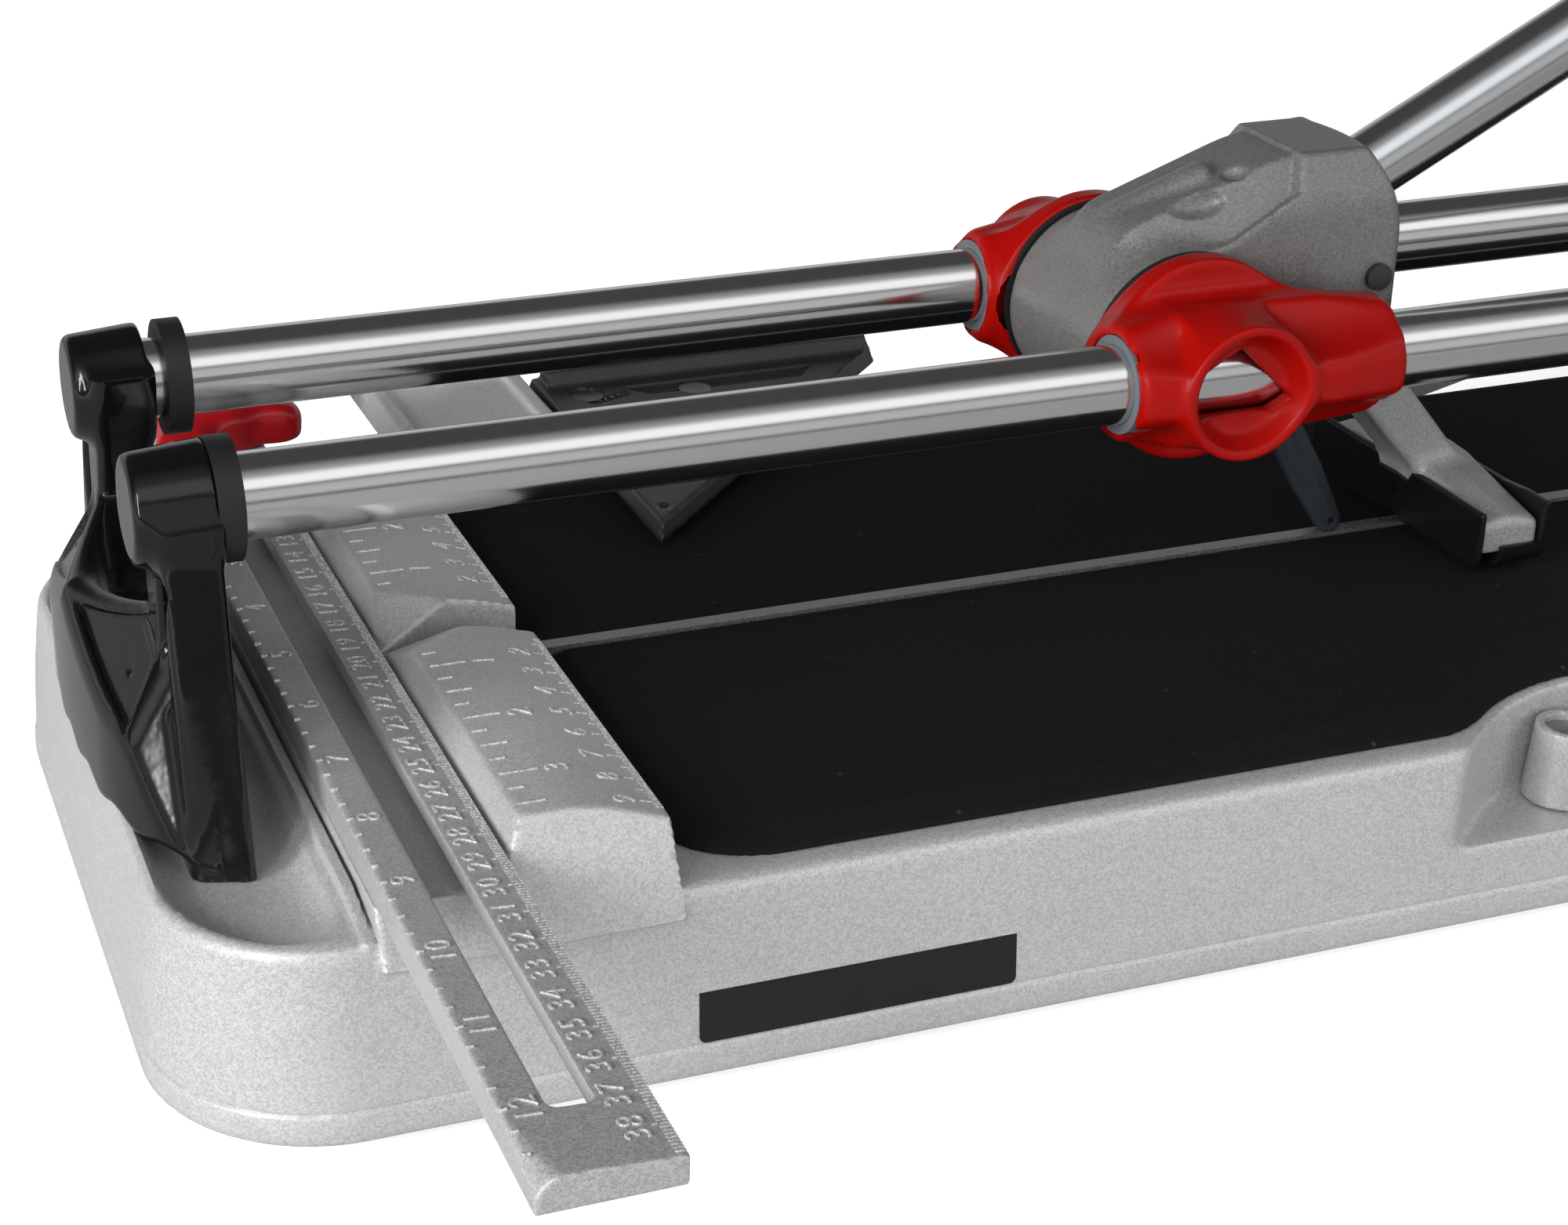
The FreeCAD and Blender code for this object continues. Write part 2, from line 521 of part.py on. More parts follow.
head = new_part("head_casting")
add(head, "XZ", [circle(*AXIS, "drum_radius")], "-head_half_width", "head_half_width")
profile = [("carriage_axis - 20", "rail_height + 11"), ("carriage_axis + 12.5", "head_top - 11"),
           ("carriage_axis + 25.5", "head_top"), ("head_right - head_crown", "head_top"),
           ("head_right", "head_top - head_nose_drop"), ("head_right - 1", "rail_height - 1"),
           ("head_right - 7", "rail_height - 12"), ("carriage_axis + 15", "rail_height - 17")]
add(head, "XZ", [profile], "-head_half_width", "head_half_width")
cut(head, "XZ", [circle(*AXIS, "axle_radius + running_gap")], "-head_half_width - 1",
    "head_half_width + 1")
slot_left = "rivet_along - arm_hub_radius - 1.9"
slot = [(slot_left, "rail_height - 25"), ("head_right + 2", "rail_height - 25"),
        ("head_right + 2", "rivet_height + 2"), ("rivet_along", "rivet_height + 2"),
        ("rivet_along", "rivet_height"), (slot_left, "rivet_height")]
for shape in (slot, circle("rivet_along", "rivet_height", "arm_hub_radius + free_gap")):
    cut(head, "XZ", [shape], "-arm_half_width - free_gap", "arm_half_width + free_gap")
cut(head, "XZ", [circle("rivet_along", "rivet_height", "rivet_radius + running_gap")],
    "-head_half_width - 1", "head_half_width + 1")

HANDLE = {"origin": ("handle_along", "handle_height"), "tilt": "handle_tilt"}
turn(head, rectangle("-handle_insert - seat_gap", "handle_insert", "0",
                     "handle_radius + running_gap"), kind="Groove", **HANDLE)

HOLDER = {"origin": ("wheel_along", "wheel_height"), "tilt": "holder_lean"}
cut(head, "XZ", [rectangle("-holder_width/2 - running_gap", "holder_width/2 + running_gap",
                           "holder_length/2", "holder_length + seat_gap")],
    "-holder_depth/2 - running_gap", "holder_depth/2 + running_gap", **HOLDER)
cut(head, "XZ", [circle("0", "holder_length - 8", "holder_screw_radius + running_gap")],
    "-head_half_width - 1", "-holder_depth/2", **HOLDER)

holder_screw = new_part("holder_screw")
add(holder_screw, "XZ", [circle("0", "holder_length - 8", "holder_screw_radius")],
    "-head_half_width + free_gap", "-holder_depth/2", **HOLDER)

rivet = new_part("breaker_rivet")
add(rivet, "XZ", [circle("rivet_along", "rivet_height", "rivet_radius")],
    "-head_half_width - rivet_head_height", "head_half_width + rivet_head_height")
for side in (-1, 1):
    add(rivet, "XZ", [circle("rivet_along", "rivet_height", "rivet_head_radius")],
        *span(side, "head_half_width", "head_half_width + rivet_head_height"))

tube = new_part("handle_tube")
turn(tube, rectangle("-handle_insert", "handle_reach", "handle_radius - handle_wall",
                     "handle_radius"), **HANDLE)

grip = new_part("handle_grip")
grip_hollow = "handle_radius + running_gap"
turn(grip, [("handle_reach - grip_length", grip_hollow), ("handle_reach", grip_hollow),
            ("handle_reach", "0"), ("handle_reach + grip_end_wall", "0"),
            ("handle_reach + grip_end_wall", "grip_radius"),
            ("handle_reach - grip_length", "grip_radius")], **HANDLE)

# ---- scoring wheel in its holder ------------------------------------------------------------

holder = new_part("wheel_holder")
neck = "2*holder_width"
add(holder, "XZ", [[("-holder_tip_radius", "0"), ("holder_tip_radius", "0"),
                    ("holder_width/2", neck), ("holder_width/2", "holder_length"),
                    ("-holder_width/2", "holder_length"), ("-holder_width/2", neck)]],
    "-holder_depth/2", "holder_depth/2", **HOLDER)
add(holder, "XZ", [circle("0", "0", "holder_tip_radius")], "-holder_depth/2", "holder_depth/2",
    **HOLDER)
cut(holder, "XZ", [rectangle("-holder_width", "holder_width", "-2*wheel_radius",
                             "wheel_radius + free_gap")],
    "-wheel_width/2 - seat_gap", "wheel_width/2 + seat_gap", **HOLDER)
cut(holder, "XZ", [circle("0", "0", "wheel_pin_radius + running_gap")],
    "-holder_depth", "holder_depth", **HOLDER)

pin = new_part("wheel_pin")
add(pin, "XZ", [circle("0", "0", "wheel_pin_radius")], "-holder_depth/2", "holder_depth/2",
    **HOLDER)

wheel = new_part("scoring_wheel")
add(wheel, "XZ", [circle("0", "0", "wheel_radius"),
                  circle("0", "0", "wheel_pin_radius + running_gap")],
    "-wheel_width/2", "wheel_width/2", **HOLDER)
soften(wheel, "wheel_width*0.4", lambda edge: edge.Closed
       and edge.Length > 5 * SIZES["wheel_radius"], "Chamfer")

# ---- breaker: arm on the rivet with a foot across its end, and the shoe under the foot --------

arm = new_part("breaker_arm")
add(arm, "XZ", [circle("rivet_along", "rivet_height", "arm_hub_radius")],
    "-arm_half_width", "arm_half_width")
add(arm, "XZ", [[("foot_right - 3", "foot_floor"), ("foot_right - 3", "foot_top"),
                 ("rivet_along + 12.5", "rivet_height - 21.5"),
                 ("rivet_along + arm_hub_radius", "rivet_height"),
                 ("rivet_along - arm_hub_radius", "rivet_height"),
                 ("rivet_along + 0.5", "rivet_height - 27"),
                 ("foot_left", "foot_top - 2.5"), ("foot_left", "foot_floor")]],
    "-arm_half_width", "arm_half_width")
foot = [("-foot_half_length", "foot_floor"), ("foot_half_length", "foot_floor"),
        ("foot_half_length", "foot_end_top"), ("arm_half_width", "foot_top"),
        ("-arm_half_width", "foot_top"), ("-foot_half_length", "foot_end_top")]
add(arm, "YZ", [foot], "foot_left", "foot_right")
cut(arm, "XZ", [circle("rivet_along", "rivet_height", "rivet_radius + running_gap")],
    "-arm_half_width - 1", "arm_half_width + 1")
cut(arm, "YZ", [circle("0", "foot_floor + foot_end_height/2", "shoe_pin_radius + running_gap")],
    "shoe_left", "shoe_right")

shoe = new_part("breaker_shoe")
add(shoe, "YZ", [[("shoe_end", "shoe_bottom"), ("shoe_end", "shoe_bottom + shoe_height"),
                  ("-shoe_end", "shoe_bottom + shoe_height"), ("-shoe_end", "shoe_bottom"),
                  ("-strip_width", "shoe_bottom"), ("0", "shoe_bottom + shoe_arch"),
                  ("strip_width", "shoe_bottom")]], "shoe_left", "shoe_right")
cut(shoe, "YZ", [rectangle("-foot_half_length - seat_gap", "foot_half_length + seat_gap",
                           "shoe_bottom + shoe_floor", "shoe_bottom + shoe_height + 1")],
    "foot_left - seat_gap", "foot_right + seat_gap")
cut(shoe, "YZ", [rectangle("-shoe_end - 1", "shoe_end + 1", "shoe_bottom + shoe_lip_height",
                           "shoe_bottom + shoe_height + 1")],
    "foot_left - seat_gap", "foot_right + seat_gap")
cut(shoe, "YZ", [circle("0", "foot_floor + foot_end_height/2", "shoe_pin_radius + running_gap")],
    "shoe_left - 1", "shoe_right + 1")

shoe_pin = new_part("shoe_pin")
add(shoe_pin, "YZ", [circle("0", "foot_floor + foot_end_height/2", "shoe_pin_radius")],
    "shoe_left", "shoe_right")

# ---- ruler ----------------------------------------------------------------------------------

ruler = new_part("ruler_bar")
add(ruler, "XZ", [[("ruler_left", "ruler_floor"), ("ruler_right", "ruler_floor"),
                   ("ruler_right", "ruler_floor + ruler_thickness"),
                   ("ruler_left", "ruler_floor + ruler_thickness + ruler_tilt")]],
    "-ruler_near", "ruler_far")
slot_ends = ("slot_end - ruler_near", "ruler_far - slot_end_far")
cut(ruler, "XY", [rectangle("slot_centre - slot_width/2", "slot_centre + slot_width/2",
                            *slot_ends)], "ruler_floor - 1", "plate_floor + 1")
recess_half = "(stud_head_radius + free_gap)"
cut(ruler, "XY", [rectangle("slot_centre - " + recess_half, "slot_centre + " + recess_half,
                            *slot_ends)], "ruler_floor - 1", "ruler_floor + slot_recess")
add(ruler, "XY", [rectangle("key_left", "key_left + key_width", "-key_near", "key_far")],
    "bed_height - key_depth", "ruler_floor + 0.5")

# ---- lateral stop on the ruler, its lock and the set square ----------------------------------

carrier = new_part("stop_carrier")
add(carrier, "XY", [rectangle("ruler_left", "ruler_right", "carrier_near", "ruler_far")],
    "plate_floor", "plate_top")
add(carrier, "XY", [rectangle("ruler_left", "carrier_foot_left + carrier_arm_thickness",
                              "cross_arm_near", "ruler_far")], "plate_floor", "plate_top")
add(carrier, "XY", [rectangle("carrier_foot_left", "square_left - 0.5", "carrier_foot_near",
                              "ruler_far")],
    "tongue_floor", "square_top")
add(carrier, "XY", [rectangle("carrier_foot_left", "carrier_foot_left + carrier_arm_thickness",
                              "cross_arm_near", "ruler_far")], "square_bottom", "plate_top")
add(carrier, "XY", [rectangle("square_left - 1", "square_left + tongue_length",
                              "carrier_foot_near", "square_far")],
    "tongue_floor", "square_bottom - seat_gap")
cut(carrier, "XY", [circle("slot_centre", "stud_across", "stud_radius + running_gap")],
    "plate_floor - 1", "plate_top + 1")
square_screws = [("square_left + 12", "square_far - 18"), ("square_left + 42", "square_far - 22")]
cut(carrier, "XY", [circle(x, y, "square_screw_radius + running_gap") for x, y in square_screws],
    "tongue_floor - 1", "square_bottom + 1")

square = new_part("set_square")
add(square, "XY", [[("square_left", "square_far"), ("square_left", "square_far - square_leg"),
                    ("square_left + square_leg", "square_far")]],
    "square_bottom", "square_top")
cut(square, "XY", [circle(x, y, "square_screw_radius + running_gap") for x, y in square_screws],
    "square_bottom - 1", "square_top + 1")
cut(square, "XY", [circle(x, y, "square_screw_head + seat_gap") for x, y in square_screws],
    "square_top - square_thickness/2", "square_top + 1")

square_screw = new_part("square_screws")
add(square_screw, "XY", [circle(x, y, "square_screw_radius") for x, y in square_screws],
    "tongue_floor", "square_top - 1")
add(square_screw, "XY", [circle(x, y, "square_screw_head") for x, y in square_screws],
    "square_top - square_thickness/2", "square_top - 0.5")

knob = new_part("stop_knob")
add(knob, "XY", [circle("slot_centre", "stud_across", "knob_core_radius")],
    "knob_floor", "knob_floor + knob_height")
lobe_reach = "(knob_radius - knob_lobe_radius)"
for i in range(SIZES["knob_lobes"]):
    turned = "(%d*360/knob_lobes)" % i
    add(knob, "XY", [circle("slot_centre + %s*cos(%s)" % (lobe_reach, turned),
                            "stud_across + %s*sin(%s)" % (lobe_reach, turned),
                            "knob_lobe_radius")],
        "knob_floor", "knob_floor + knob_height")
cut(knob, "XY", [circle("slot_centre", "stud_across", "stud_radius + running_gap")],
    "knob_floor - 1", "stud_floor + stud_length + seat_gap")

stud = new_part("stop_stud")
add(stud, "XY", [circle("slot_centre", "stud_across", "stud_head_radius")],
    "stud_floor", "stud_floor + stud_head_height")
add(stud, "XY", [circle("slot_centre", "stud_across", "stud_radius")],
    "stud_floor", "stud_floor + stud_length")

# ---- folding side arms ----------------------------------------------------------------------

def place_arm(body, side, swing):
    body.setExpression("Placement.Base.x", bound("pivot_along"))
    body.setExpression("Placement.Base.y", bound("%d*pivot_across" % side))
    body.setExpression("Placement.Rotation.Angle", bound(swing))


for side, name, swing in ((-1, "side_arm_near", "0"), (1, "side_arm_far", "arm_swing")):
    side_arm = new_part(name)
    add(side_arm, "XY", [circle("0", "0", "hub_radius")], "pocket_floor + floor_gap", "arm_bar_top")
    add(side_arm, "XY", [circle("0", "0", "hub_top_radius")], "arm_bar_top - 1", "hub_top")
    add(side_arm, "XY", [rectangle("0", "arm_length", "-arm_bar_width/2", "arm_bar_width/2")],
        "arm_bar_bottom", "arm_bar_top")
    add(side_arm, "XY", [circle("arm_length", "0", "arm_tip_radius")],
        "arm_bar_bottom", "arm_tip_top")
    cut(side_arm, "XY", [circle("0", "0", "pivot_screw_radius + running_gap")],
        "pocket_floor - 1", "hub_top + 1")
    cut(side_arm, "XY", [circle("0", "0", "pivot_screw_head + seat_gap")],
        "pivot_screw_floor", "hub_top + 1")
    place_arm(side_arm, side, swing)
    tip_pad = new_part(name.replace("side_arm", "arm_pad"))
    add(tip_pad, "XY", [circle("arm_length", "0", "arm_tip_radius - 1")],
        "arm_tip_top", "arm_tip_top + arm_pad_thickness")
    place_arm(tip_pad, side, swing)

pivot_screw = new_part("arm_pivot_screws")
add(pivot_screw, "XY", [circle(x, y, "pivot_screw_radius") for x, y in pivots],
    "pocket_floor - pivot_screw_depth", "pivot_screw_floor + 1")
add(pivot_screw, "XY", [circle(x, y, "pivot_screw_head") for x, y in pivots],
    "pivot_screw_floor + floor_gap", "pivot_screw_floor + pivot_screw_radius")

# ---- check everything, then write each sub-part ---------------------------------------------

doc.recompute()
for item in doc.Objects:
    if "Invalid" in item.State or "Error" in item.State:
        raise RuntimeError("%s failed: %s" % (item.Name, item.State))
for body in parts:
    if body.Shape.isNull() or not body.Shape.isValid() or not body.Shape.Solids:
        raise RuntimeError("%s has no sound shape" % body.Label)

os.makedirs("parts", exist_ok=True)
for body in parts:
    body.Shape.exportStep("parts/%s.step" % body.Label)
    print("%-18s %2d solid(s) %10.1f mm3" % (body.Label, len(body.Shape.Solids),
                                             body.Shape.Volume))
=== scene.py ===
import math

import bpy
import numpy as np
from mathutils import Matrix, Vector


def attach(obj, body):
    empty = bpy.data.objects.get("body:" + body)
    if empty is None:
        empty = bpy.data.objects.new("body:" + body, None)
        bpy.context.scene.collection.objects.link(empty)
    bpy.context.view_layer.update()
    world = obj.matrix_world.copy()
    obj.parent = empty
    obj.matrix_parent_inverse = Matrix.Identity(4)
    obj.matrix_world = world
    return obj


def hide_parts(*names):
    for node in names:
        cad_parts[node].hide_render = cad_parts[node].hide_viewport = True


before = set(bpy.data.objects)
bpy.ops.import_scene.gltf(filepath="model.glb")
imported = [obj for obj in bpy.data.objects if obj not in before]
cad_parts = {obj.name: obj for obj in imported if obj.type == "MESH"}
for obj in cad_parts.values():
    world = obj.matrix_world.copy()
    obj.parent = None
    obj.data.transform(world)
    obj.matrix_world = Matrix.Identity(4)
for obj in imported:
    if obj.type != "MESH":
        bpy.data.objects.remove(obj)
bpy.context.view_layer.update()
scene = bpy.context.scene


# ---- Studio -------------------------------------------------------------------------
# The cutter stands on a wide pale floor under long softboxes that run with its rails.
# The floor and the world read as white behind it, and the floor keeps its shadow. Polished
# metal shows the softboxes and the dark gaps between them.

class Wire:
    """A node's output in a shader tree: arithmetic on it adds the Math nodes."""

    def __init__(self, tree, socket):
        self.tree = tree
        self.socket = socket

    def node(self, kind, inputs=None, out=0, stops=None, **settings):
        """Add a shader node: its settings first, then the values or links of its sockets."""
        made = self.tree.nodes.new("ShaderNode" + kind)
        for name, value in settings.items():
            setattr(made, name, value)
        if stops:
            ramp = made.color_ramp.elements
            while len(ramp) < len(stops):
                ramp.new(0.5)
            for element, (place, colour) in zip(ramp, stops):
                element.position = place
                element.color = grey(colour)
        for name, value in (inputs or {}).items():
            if isinstance(value, Wire):
                self.tree.links.new(value.socket, made.inputs[name])
            else:
                made.inputs[name].default_value = value
        return Wire(self.tree, made.outputs[out])

    def also(self, name):
        """Another output of the node that this one comes from."""
        return Wire(self.tree, self.socket.node.outputs[name])

    def maths(self, operation, *values):
        return self.node("Math", dict(enumerate(values)), operation=operation)

    def __add__(self, other):
        return self.maths("ADD", self, other)

    def __radd__(self, other):
        return self.maths("ADD", other, self)

    def __sub__(self, other):
        return self.maths("SUBTRACT", self, other)

    def __rsub__(self, other):
        return self.maths("SUBTRACT", other, self)

    def __mul__(self, other):
        return self.maths("MULTIPLY", self, other)

    def __rmul__(self, other):
        return self.maths("MULTIPLY", other, self)

    def above(self, edge, width):
        """0 below edge, 1 above edge + width, smooth between."""
        return self.node("MapRange", {0: self, 1: edge, 2: edge + width},
                         interpolation_type="SMOOTHSTEP")


def grey(colour):
    """A colour of four numbers, from one grey value or from three."""
    return tuple(colour) + (1,) if isinstance(colour, (tuple, list)) else (colour,) * 3 + (1,)


def shader_tree(owner):
    """An emptied shader tree, as a Wire with no socket, and its output node."""
    owner.use_nodes = True
    tree = owner.node_tree
    tree.nodes.clear()
    kind = "ShaderNodeOutputWorld" if isinstance(owner, bpy.types.World) else "ShaderNodeOutputMaterial"
    return Wire(tree, None), tree.nodes.new(kind)


world = bpy.data.worlds.new("studio")
scene.world = world
start, output = shader_tree(world)
direction = start.node("TexCoord", out=0)
axes = start.node("SeparateXYZ", {0: direction})
turn = start.maths("ARCTAN2", axes.also("Z"), axes.also("Y") * -1) * (0.5 / math.pi) + 0.5
# Brightness round the rails' direction: 0.25 is straight down, 0.5 the near horizon,
# 0.75 straight up, 1 the far horizon.
SOFTBOXES = [(0.0, 0.30), (0.48, 0.30), (0.505, 0.13), (0.525, 0.55), (0.572, 0.50),
             (0.59, 0.16), (0.61, 1.1), (0.655, 1.1), (0.69, 0.40), (0.76, 0.06),
             (0.92, 0.06), (0.95, 0.45), (1.0, 0.65)]
bands = start.node("ValToRGB", {0: turn}, stops=SOFTBOXES)
lit = start.node("Background", {0: bands, 1: 1.0})
plain = start.node("Background", {0: grey(1.0), 1: 1.0})
ray = start.node("LightPath", out="Is Camera Ray")
seen = ray + ray.also("Is Transmission Ray")
mixed = start.node("MixShader", {0: seen, 1: lit, 2: plain})
start.tree.links.new(mixed.socket, output.inputs[0])


def lamp(name, place, aim, size, power, mirrored=False):
    """A rectangular softbox at place that faces aim, seen in polished metal only if mirrored."""
    data = bpy.data.lights.new(name, "AREA")
    data.shape = "RECTANGLE"
    data.size, data.size_y = size
    data.energy = power
    made = bpy.data.objects.new(name, data)
    scene.collection.objects.link(made)
    made.location = place
    made.visible_glossy = mirrored
    facing = Vector(aim) - Vector(place)
    made.rotation_euler = facing.to_track_quat("-Z", "Y").to_euler()


lamp("key_softbox", (-1.5, -2.0, 0.6), (-0.2, 0, 0.05), (1.4, 0.9), 22)
lamp("side_softbox", (1.2, -2.1, 0.55), (0, 0, 0.05), (1.6, 0.9), 15)
lamp("end_softbox", (-2.3, -0.4, 0.7), (-0.3, 0, 0.05), (1.0, 0.9), 50)
lamp("edge_strip", (-1.5, -0.95, 0.75), (-0.4, 0, 0.1), (0.14, 1.1), 8, mirrored=True)

camera = bpy.data.objects.new("camera", bpy.data.cameras.new("camera"))
scene.collection.objects.link(camera)
scene.camera = camera
camera.location = (-0.4975, -0.5499, 0.3317)
camera.rotation_euler = (math.radians(67.17), 0, math.radians(-18.75))
camera.data.lens = 64.57
camera.data.sensor_width = 36
camera.data.shift_x = 0.1233
camera.data.shift_y = -0.0776
camera.data.clip_start = 0.02

FLOOR_HALF = 4.0
floor = bpy.data.objects.new("floor", bpy.data.meshes.new("floor"))
corners = [(-FLOOR_HALF, -FLOOR_HALF, 0), (FLOOR_HALF, -FLOOR_HALF, 0),
           (FLOOR_HALF, FLOOR_HALF, 0), (-FLOOR_HALF, FLOOR_HALF, 0)]
floor.data.from_pydata(corners, [], [(0, 1, 2, 3)])
scene.collection.objects.link(floor)
floor_finish = bpy.data.materials.new("floor_white")
floor.data.materials.append(floor_finish)
start, output = shader_tree(floor_finish)
ray = start.node("LightPath", out="Is Camera Ray")
seen = ray + ray.also("Is Transmission Ray")
lit = start.node("BsdfDiffuse", {0: grey(0.8)})
dim = start.node("BsdfDiffuse", {0: grey(0.4)})
glow = start.node("Emission", {0: grey(1.0), 1: 0.62})
bright = start.node("AddShader", {0: lit, 1: glow})
unseen = start.node("MixShader", {0: ray.also("Is Glossy Ray"), 1: lit, 2: dim})
mixed = start.node("MixShader", {0: seen, 1: unseen, 2: bright})
start.tree.links.new(mixed.socket, output.inputs[0])
scene.view_settings.view_transform = "Standard"


# ---- Base casting -------------------------------------------------------------------
# The long base is one aluminium pressure casting, sprayed in silver: drafted walls with
# a lip at the foot, a bowl at each end for the rail supports, a pocket along each side
# for the folding arms, the bed that the ruler slides on and the measuring fence.

MM = 0.001
METAL_SPECK = 2600


def joined(a, b, fillet):
    """Union of two distance fields: the smaller one, less a quadratic fillet where they are close."""
    near = np.maximum(fillet - np.abs(a - b), 0) / fillet
    return np.minimum(a, b) - near * near * fillet / 4


def common(a, b, round_off):
    """Intersection of two distance fields, with a quadratic rounding along their edge."""
    return -joined(-a, -b, round_off)


def cut_from(a, b, round_off):
    """Distance field a with b taken out of it, the new edge rounded."""
    return common(a, -b, round_off)


def plate(across, along, half_across, half_along, corner):
    """Distance to a rounded rectangle: the corner's circle outside, the nearer side inside."""
    u = np.abs(across) - half_across + corner
    v = np.abs(along) - half_along + corner
    outside = np.sqrt(np.maximum(u, 0) ** 2 + np.maximum(v, 0) ** 2)
    return outside + np.minimum(np.maximum(u, v), 0) - corner


def skin(name, solid, x, y, z, settle=3):
    """Mesh the surface where the distance field solid(x, y, z), in mm, is zero.

    The field is worked out on the grid of lines x, y, z. A grid edge that changes sign is
    crossed at its linear zero, a cell that is crossed has one vertex at the mean of its
    crossings, and each crossed edge is ringed by the four cells around it. The vertices
    then slide down the field's slope, point - field * slope / slope squared.
    """
    lines = (np.asarray(x, float), np.asarray(y, float), np.asarray(z, float))
    shape = tuple(len(line) for line in lines)
    value = np.broadcast_to(solid(*np.meshgrid(*lines, indexing="ij", sparse=True)), shape)
    inside = value < 0
    sums = [np.zeros(np.prod(shape)) for _ in range(4)]
    rings = []
    for axis in range(3):
        first = np.argwhere(np.diff(inside, axis=axis))
        second = first.copy()
        second[:, axis] += 1
        low, high = value[tuple(first.T)], value[tuple(second.T)]
        point = np.stack([lines[k][first[:, k]] for k in range(3)], 1)
        step = lines[axis][second[:, axis]] - lines[axis][first[:, axis]]
        point[:, axis] += low / (low - high) * step
        ring = []
        for back_u, back_v in ((1, 1), (0, 1), (0, 0), (1, 0)):
            cell = first.copy()
            cell[:, (axis + 1) % 3] -= back_u
            cell[:, (axis + 2) % 3] -= back_v
            index = np.ravel_multi_index(tuple(cell.T), shape, mode="clip")
            ring.append(index)
            for k in range(3):
                sums[k] += np.bincount(index, point[:, k], sums[k].size)
            sums[3] += np.bincount(index, minlength=sums[3].size)
        ring = np.stack(ring, 1)
        rings.append(np.where((low < 0)[:, None], ring, ring[:, ::-1]))
    rings = np.concatenate(rings)
    used, rings = np.unique(rings, return_inverse=True)
    points = np.stack([total[used] for total in sums[:3]], 1) / sums[3][used][:, None]
    reach = 0.02
    for _ in range(settle):
        here = solid(*points.T)
        slope = np.stack([solid(*(points + reach * np.eye(3)[k]).T) - here for k in range(3)], 1) / reach
        length = np.maximum((slope ** 2).sum(1), 0.3)
        points -= np.clip(here / length, -0.5, 0.5)[:, None] * slope
    return mesh_piece(name, points, rings.reshape(-1, 4).tolist())


def mesh_piece(name, points, faces, crease=40):
    """Put points, in mm, and faces into a new object, shaded smooth up to the crease angle."""
    mesh = bpy.data.meshes.new(name)
    mesh.from_pydata(np.asarray(points) * MM, [], faces)
    mesh.update()
    mesh.polygons.foreach_set("use_smooth", np.ones(len(mesh.polygons), bool))
    mesh.set_sharp_from_angle(angle=math.radians(crease))
    piece = bpy.data.objects.new(name, mesh)
    scene.collection.objects.link(piece)
    return piece


def fit_out(piece, body, slot, finish, *nodes):
    """Give a piece its finish and its body, and hide the nodes that it stands for; slot is not used."""
    piece.data.materials.append(finish)
    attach(piece, body)
    if nodes:
        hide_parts(*nodes)
    return piece


def spaced(*stops):
    """Grid lines from stops of (place, step): each step holds up to the next place."""
    runs = []
    for (here, step), (there, _) in zip(stops, stops[1:]):
        count = max(1, round((there - here) / step))
        runs.append(np.linspace(here, there, count, endpoint=False))
    return np.concatenate(runs + [[stops[-1][0]]])


BASE_HALF_LENGTH = 430
BASE_HALF_WIDTH = 107
BASE_CORNER = 38
LIP_TOP = 10.8
DECK = 45.8
BED = 51.6
RULER_LEFT, RULER_RIGHT = -388, -361.4
FENCE_LEFT, FENCE_RIGHT, FENCE_TOP = -361, -326.5, 62.5
POCKET_FLOOR = 22.5
POCKET_WALL = 82.6
STRIP_TOP = 50.8


def fence_level(x, y):
    """Height of the fence's top: flat, then bent down towards the bed."""
    return FENCE_TOP + joined(0 * x, -0.29 * (x + 342), 2.4) + 0 * y


def pocket_plan(x, across):
    """An arm pocket from above: a slanted front, a long wall and a far end, rounded together."""
    slant = -0.637 * (x + 146) - 0.771 * (across - 103)
    return common(common(slant, POCKET_WALL - across, 14), x - 190, 8)


